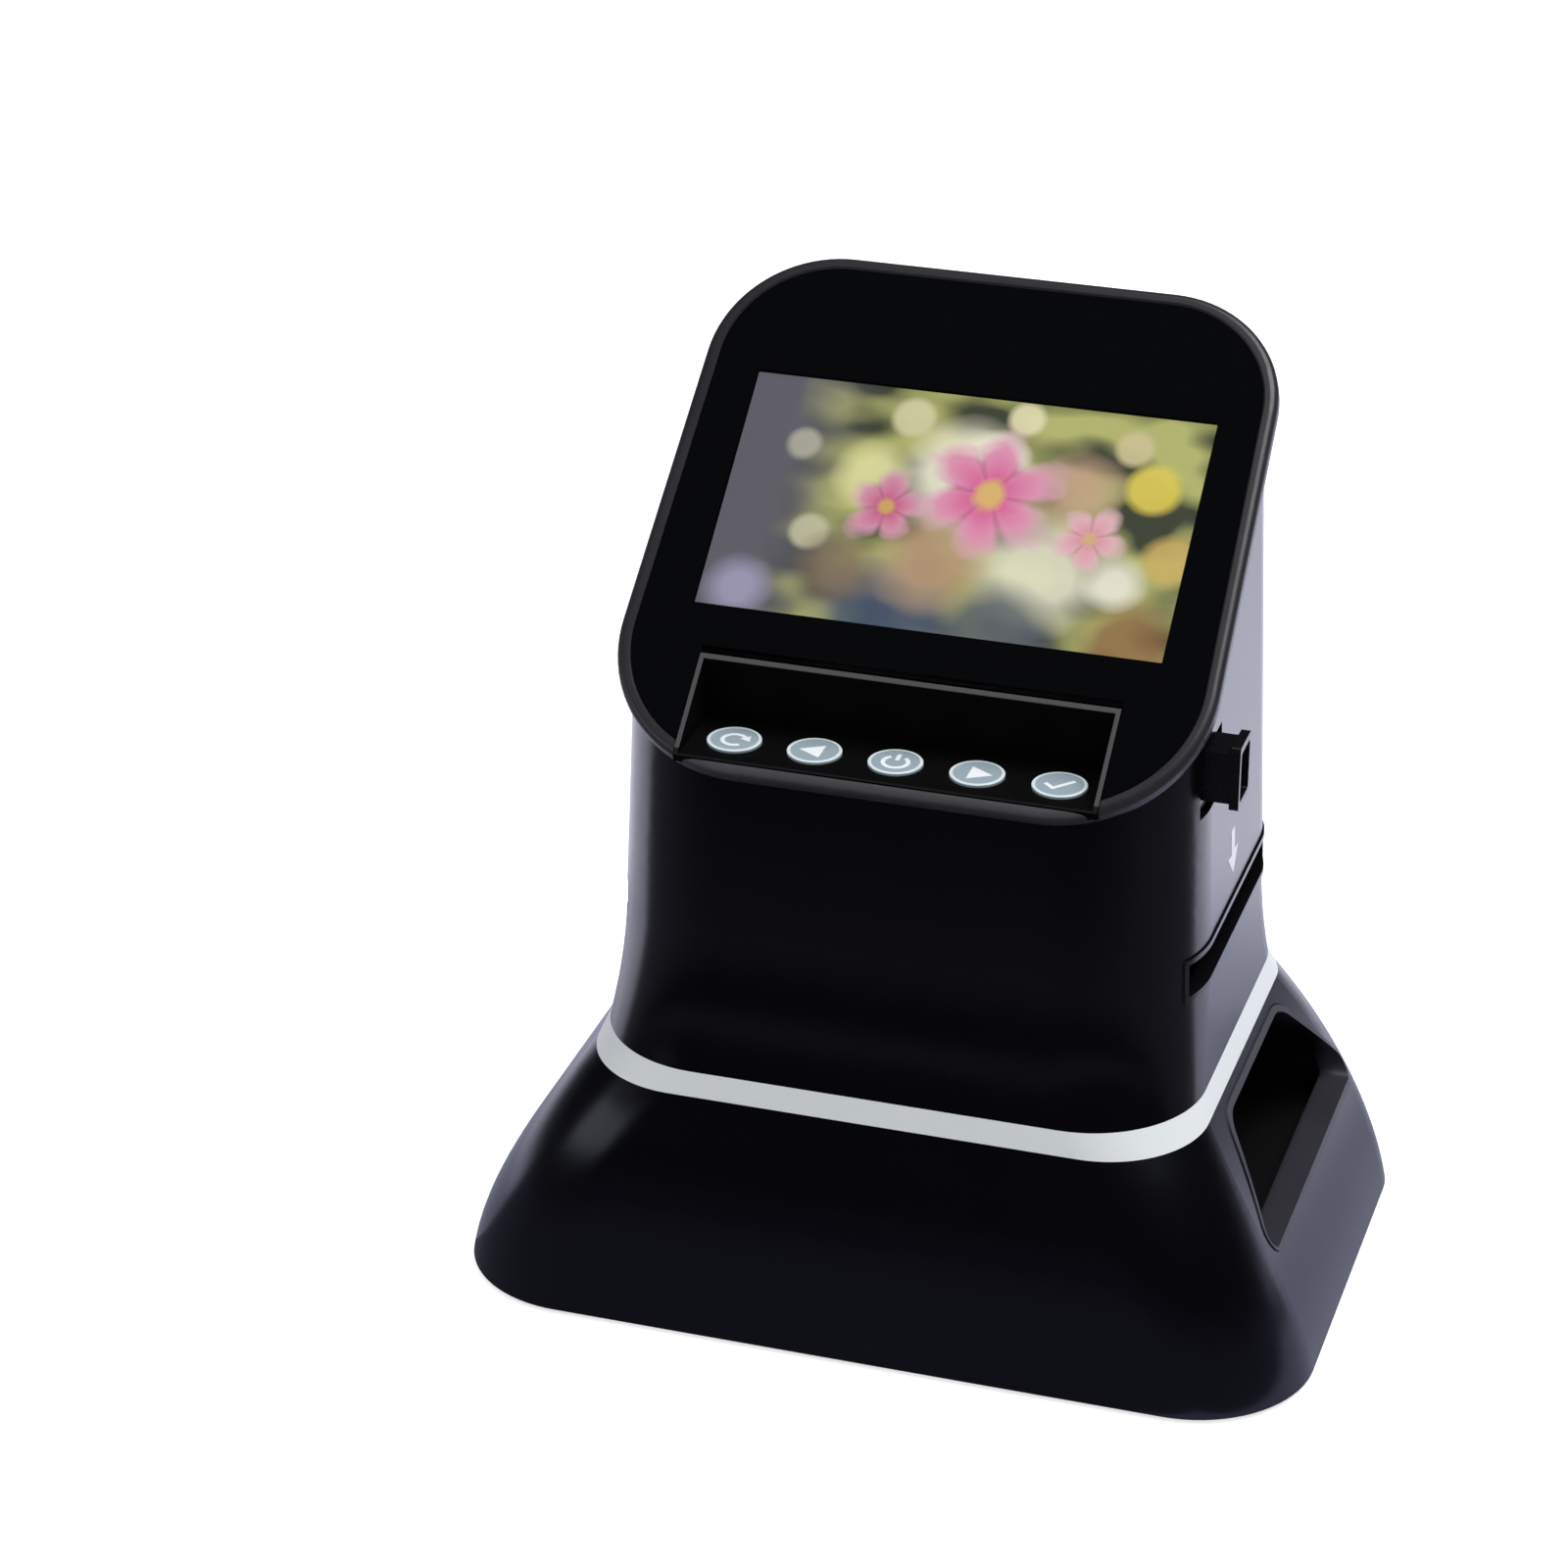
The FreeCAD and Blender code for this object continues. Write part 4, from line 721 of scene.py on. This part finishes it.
def gardenPicture(piece):
    # soft-focus garden: blossoms before leaves and far lights
    material, tree, shader = newFinish("gardenPicture")
    uv = tree.nodes.new("ShaderNodeUVMap")
    uv.uv_map = piece.data.uv_layers[0].name
    place = uv.outputs["UV"]
    warp = grainOf(tree, place, garden["warpScale"])
    leaves = grainOf(tree, place, *garden["leafPattern"])
    colour = mixTones(tree, stretchValue(tree, leaves, *garden["leafEdge"]), garden["leafDark"],
                      garden["leafLight"])
    edge = linkMath(tree, "ADD", splitPlace(tree, place)["X"],
                    linkMath(tree, "MULTIPLY", warp, garden["wallWarp"]))
    colour = mixTones(tree, stretchValue(tree, edge, *garden["wallEdge"]), garden["wall"], colour)
    ragged = stretchValue(tree, grainOf(tree, place, garden["raggedScale"]), *garden["ragged"])

    def centred(x, y):
        # the place measured from there, in heights of the picture
        shift = tree.nodes.new("ShaderNodeMapping")
        shift.vector_type = "TEXTURE"
        shift.inputs["Location"].default_value = (x, y, 0)
        shift.inputs["Scale"].default_value = (screen["height"] / screen["width"], 1, 1)
        tree.links.new(place, shift.inputs["Vector"])
        return shift.outputs["Vector"]

    def addPatch(colour, x, y, radius, soft, tone):
        uneven = soft * garden["patchWarp"]
        distance = linkMath(tree, "ADD", lengthOf(tree, centred(x, y)),
                            linkMath(tree, "MULTIPLY", warp, uneven))
        middle = radius + uneven / 2
        fade = stretchValue(tree, distance, middle - soft / 2, middle + soft / 2,
                            garden["patchCover"], 0.0)
        return mixTones(tree, fade, colour, tone)

    def addBlossom(colour, x, y, radius, petals, turn, tone, heart):
        spot = centred(x, y)
        distance = linkMath(tree, "MULTIPLY", lengthOf(tree, spot), ragged)
        split = splitPlace(tree, spot)
        angle = linkMath(tree, "ADD", linkMath(tree, "ARCTAN2", split["Y"], split["X"]), turn)
        wave = linkMath(tree, "SINE", linkMath(tree, "MULTIPLY", angle, petals / 2))
        wave = linkMath(tree, "ABSOLUTE", wave)
        reach = stretchValue(tree, wave, 0.0, 1.0, radius * garden["notch"], radius)
        part = linkMath(tree, "DIVIDE", distance, reach)
        times, plus = garden["paleTint"]
        pale = tuple(times * channel + plus for channel in tone)
        dark = tuple(garden["creaseTint"] * channel for channel in tone)
        petal = mixTones(tree, stretchValue(tree, part, garden["paleFrom"], 1.0), tone, pale)
        petal = mixTones(tree, stretchValue(tree, wave, *garden["crease"]), petal, dark)
        inner, outer = garden["heart"]
        petal = mixTones(tree, stretchValue(tree, distance, radius * inner, radius * outer,
                                            1.0, 0.0), petal, heart)
        cover = stretchValue(tree, part, *garden["petalEdge"], 1.0, 0.0)
        return mixTones(tree, cover, colour, petal)

    for patch in garden["patches"]:
        colour = addPatch(colour, *patch)
    for blossom in garden["blossoms"]:
        colour = addBlossom(colour, *blossom)
    tree.links.new(colour, shader.inputs["Emission Color"])
    shader.inputs["Emission Strength"].default_value = screen["glow"]
    shader.inputs["Base Color"].default_value = (*garden["base"], 1)
    shader.inputs["Roughness"].default_value = garden["rough"]
    return material


def makeScreenPicture():
    # the lit layer of the display, a thin sheet right under the glass
    bpy.ops.mesh.primitive_plane_add(size=1.0, location=(0, 0, 0))
    piece = bpy.context.object
    bpy.ops.object.mode_set(mode="EDIT")
    bpy.ops.mesh.select_all(action="SELECT")
    bpy.ops.transform.resize(value=(screen["width"], screen["height"], 1))
    bpy.ops.mesh.subdivide(number_cuts=7)
    place = Matrix.Translation(facePoint(screen["offset"], 0, screen["depth"])) @ faceTurn
    settle(piece, "screenPicture", place, "housing", gardenPicture(piece))


makeScreenPicture()
print("screen picture made")


marks = {
    "thick": 0.00006,
    "size": 0.0062,                  # the shares below are of this
    "stroke": 0.00085,
    "colour": (0.86, 0.90, 0.92),
    "shade": 0.95,                   # of the colour, in the paint's flow marks
    "arcSteps": 40,
    "triangle": 0.50,                # its radius
    "powerRing": (125, 290, 0.40),   # where it starts, its sweep, its radius
    "powerStroke": (0.34, 0.42),     # its middle, its length
    "clearRing": (40, 270, 0.38),
    "clearHead": 0.22,
    "tickArms": (0.78, 0.34),        # the long and the short arm
    "tickInside": 0.49,              # a corner of its square is further out than this share
    "tickTurn": 42,
    "tickShift": (-0.16, -0.26),
}


def markShare(share):
    return marks["size"] * share


def buttonSpot(node):
    low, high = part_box(node)
    return Vector(((low[0] + high[0]) / 2, (low[1] + high[1]) / 2, buttons["dishFloor"]))


def addTriangle():
    # flat triangle that points to -X
    bpy.ops.mesh.primitive_circle_add(vertices=3, radius=markShare(marks["triangle"]),
                                      fill_type="NGON", rotation=(0, 0, radians(90)))
    bpy.ops.object.mode_set(mode="EDIT")
    bpy.ops.mesh.select_all(action="SELECT")
    return bpy.context.object


def addArc(start, sweep, share):
    # flat band bent round the middle, by spinning a short stroke
    bpy.ops.mesh.primitive_plane_add(size=marks["stroke"], location=(0, 0, 0))
    piece = bpy.context.object
    bpy.ops.object.mode_set(mode="EDIT")
    bpy.ops.mesh.select_all(action="SELECT")
    bpy.ops.mesh.delete(type="ONLY_FACE")
    bpy.ops.object.mode_set(mode="OBJECT")
    for vertex in piece.data.vertices:
        vertex.select = vertex.co.y > 0
    bpy.ops.object.mode_set(mode="EDIT")
    bpy.ops.mesh.delete(type="VERT")
    bpy.ops.mesh.select_all(action="SELECT")
    bpy.ops.transform.translate(value=(markShare(share), marks["stroke"] / 2, 0))
    bpy.ops.transform.rotate(value=-radians(start), orient_axis="Z", center_override=(0, 0, 0))
    bpy.ops.mesh.spin(steps=marks["arcSteps"], angle=radians(sweep), center=(0, 0, 0),
                      axis=(0, 0, -1))
    return piece


def addStroke(middle, length):
    # a straight stroke up the mark that is being edited
    bpy.ops.mesh.select_all(action="DESELECT")
    bpy.ops.mesh.primitive_plane_add(size=1.0, location=(0, 0, 0))
    bpy.ops.transform.resize(value=(marks["stroke"], markShare(length), 1),
                             center_override=(0, 0, 0))
    bpy.ops.transform.translate(value=(0, markShare(middle), 0))


def addHead(degrees, radius, reach):
    # arrow head at an arc's end: its base stands across the arc, its tip points clockwise
    across = Vector((cos(radians(degrees)), sin(radians(degrees)), 0))
    along = Vector((sin(radians(degrees)), -cos(radians(degrees)), 0))
    middle = across * radius + along * reach / 2
    bpy.ops.mesh.select_all(action="DESELECT")
    bpy.ops.mesh.primitive_circle_add(vertices=3, radius=reach, fill_type="NGON",
                                      location=middle, rotation=(0, 0, radians(degrees - 180)))


def pullEdge(piece, test, move):
    # extrudes the border edges whose two ends pass the test
    bpy.ops.object.mode_set(mode="OBJECT")
    for vertex in piece.data.vertices:
        vertex.select = test(vertex.co)
    for edge in piece.data.edges:
        edge.select = all(piece.data.vertices[index].select for index in edge.vertices)
    for polygon in piece.data.polygons:
        polygon.select = False
    bpy.ops.object.mode_set(mode="EDIT")
    bpy.ops.mesh.extrude_region_move(TRANSFORM_OT_translate={"value": move})


def addTick():
    # a check mark: one square pulled out to a long and a short arm, then turned
    bpy.ops.mesh.primitive_plane_add(size=marks["stroke"], location=(0, 0, 0))
    tick = bpy.context.object
    inside = marks["stroke"] * marks["tickInside"]
    long, short = (markShare(arm) for arm in marks["tickArms"])
    pullEdge(tick, lambda point: point.y > inside, (0, long, 0))
    pullEdge(tick, lambda point: point.x < -inside and point.y < marks["stroke"], (-short, 0, 0))
    bpy.ops.mesh.select_all(action="SELECT")
    bpy.ops.transform.rotate(value=radians(marks["tickTurn"]), orient_axis="Z",
                             center_override=(0, 0, 0))
    across, up = marks["tickShift"]
    bpy.ops.transform.translate(value=(markShare(across), markShare(up), 0))
    return tick


def thicken(thick):
    bpy.ops.mesh.select_all(action="SELECT")
    bpy.ops.mesh.normals_make_consistent(inside=False)
    bpy.ops.mesh.extrude_region_move(TRANSFORM_OT_translate={"value": (0, 0, thick)})
    bpy.ops.mesh.select_all(action="SELECT")
    bpy.ops.mesh.normals_make_consistent(inside=False)


def printPaint(name, colour, rough):
    return mouldedPlastic(name, colour, tuple(marks["shade"] * c for c in colour), rough, 0.3)


markPaint = printPaint("markPaint", marks["colour"], 0.45)


def finishMark(piece, name, node, degrees=0.0):
    thicken(marks["thick"])
    place = Matrix.Translation(buttonSpot(node)) @ Matrix.Rotation(radians(degrees), 4, "Z")
    settle(piece, name, place, node, markPaint)


def makeMarks():
    finishMark(addTriangle(), "leftMark", "left_button")
    finishMark(addTriangle(), "rightMark", "right_button", 180)
    ring = addArc(*marks["powerRing"])
    addStroke(*marks["powerStroke"])
    finishMark(ring, "powerMark", "power_button")
    start, sweep, share = marks["clearRing"]
    back = addArc(start, sweep, share)
    addHead(start, markShare(share), markShare(marks["clearHead"]))
    finishMark(back, "clearMark", "clear_button")
    finishMark(addTick(), "confirmMark", "ok_button")


makeMarks()
print("button marks made")


arrow = {
    "place": (0.0058, 0.0995),       # along Y and up: the middle of its upper end
    "length": 0.0098,
    "shaft": 0.0030,
    "head": 0.0086,
    "headLength": 0.0046,
    "thick": 0.00005,                # it is this deep in the wall, and this proud of it
    "colour": (0.80, 0.82, 0.86),
    "lookFrom": 0.2,                 # right of the wall, where the rays that find it start
}


def wallPoint(along, up):
    # where the tower's right wall is at that place
    start = Vector((arrow["lookFrom"], along, up))
    return nodes["tower_shell"].ray_cast(start, Vector((-1, 0, 0)))[1]


def makeArrow():
    # arrow printed on the wall under the lever: it points down to the film slot
    bpy.ops.mesh.primitive_plane_add(size=1.0, location=(0, 0, 0))
    piece = bpy.context.object
    bpy.ops.object.mode_set(mode="EDIT")
    bpy.ops.mesh.select_all(action="SELECT")
    shaftLength = arrow["length"] - arrow["headLength"]
    bpy.ops.transform.resize(value=(arrow["shaft"], shaftLength, 1), center_override=(0, 0, 0))
    bpy.ops.transform.translate(value=(0, -shaftLength / 2, 0))
    bpy.ops.mesh.select_all(action="DESELECT")
    radius = arrow["head"] / sqrt(3)
    bpy.ops.mesh.primitive_circle_add(vertices=3, radius=radius, fill_type="NGON",
                                      location=(0, 0, 0), rotation=(0, 0, radians(180)))
    bpy.ops.transform.resize(value=(1, arrow["headLength"] / (1.5 * radius), 1),
                             center_override=(0, 0, 0))
    bpy.ops.transform.translate(value=(0, -shaftLength - arrow["headLength"] / 3, 0))
    thicken(arrow["thick"] * 2)
    along, up = arrow["place"]
    half = arrow["head"] / 2
    top = wallPoint(along, up)
    rise = (top - wallPoint(along, up - arrow["length"])).normalized()
    side = (wallPoint(along + half, up) - wallPoint(along - half, up)).normalized()
    out = side.cross(rise).normalized()
    turned = Matrix((side, out.cross(side), out)).transposed().to_4x4()
    place = Matrix.Translation(top - out * arrow["thick"]) @ turned
    paint = printPaint("arrowPaint", arrow["colour"], 0.4)
    settle(piece, "slotArrow", place, "housing", paint)


makeArrow()
print("arrow made")
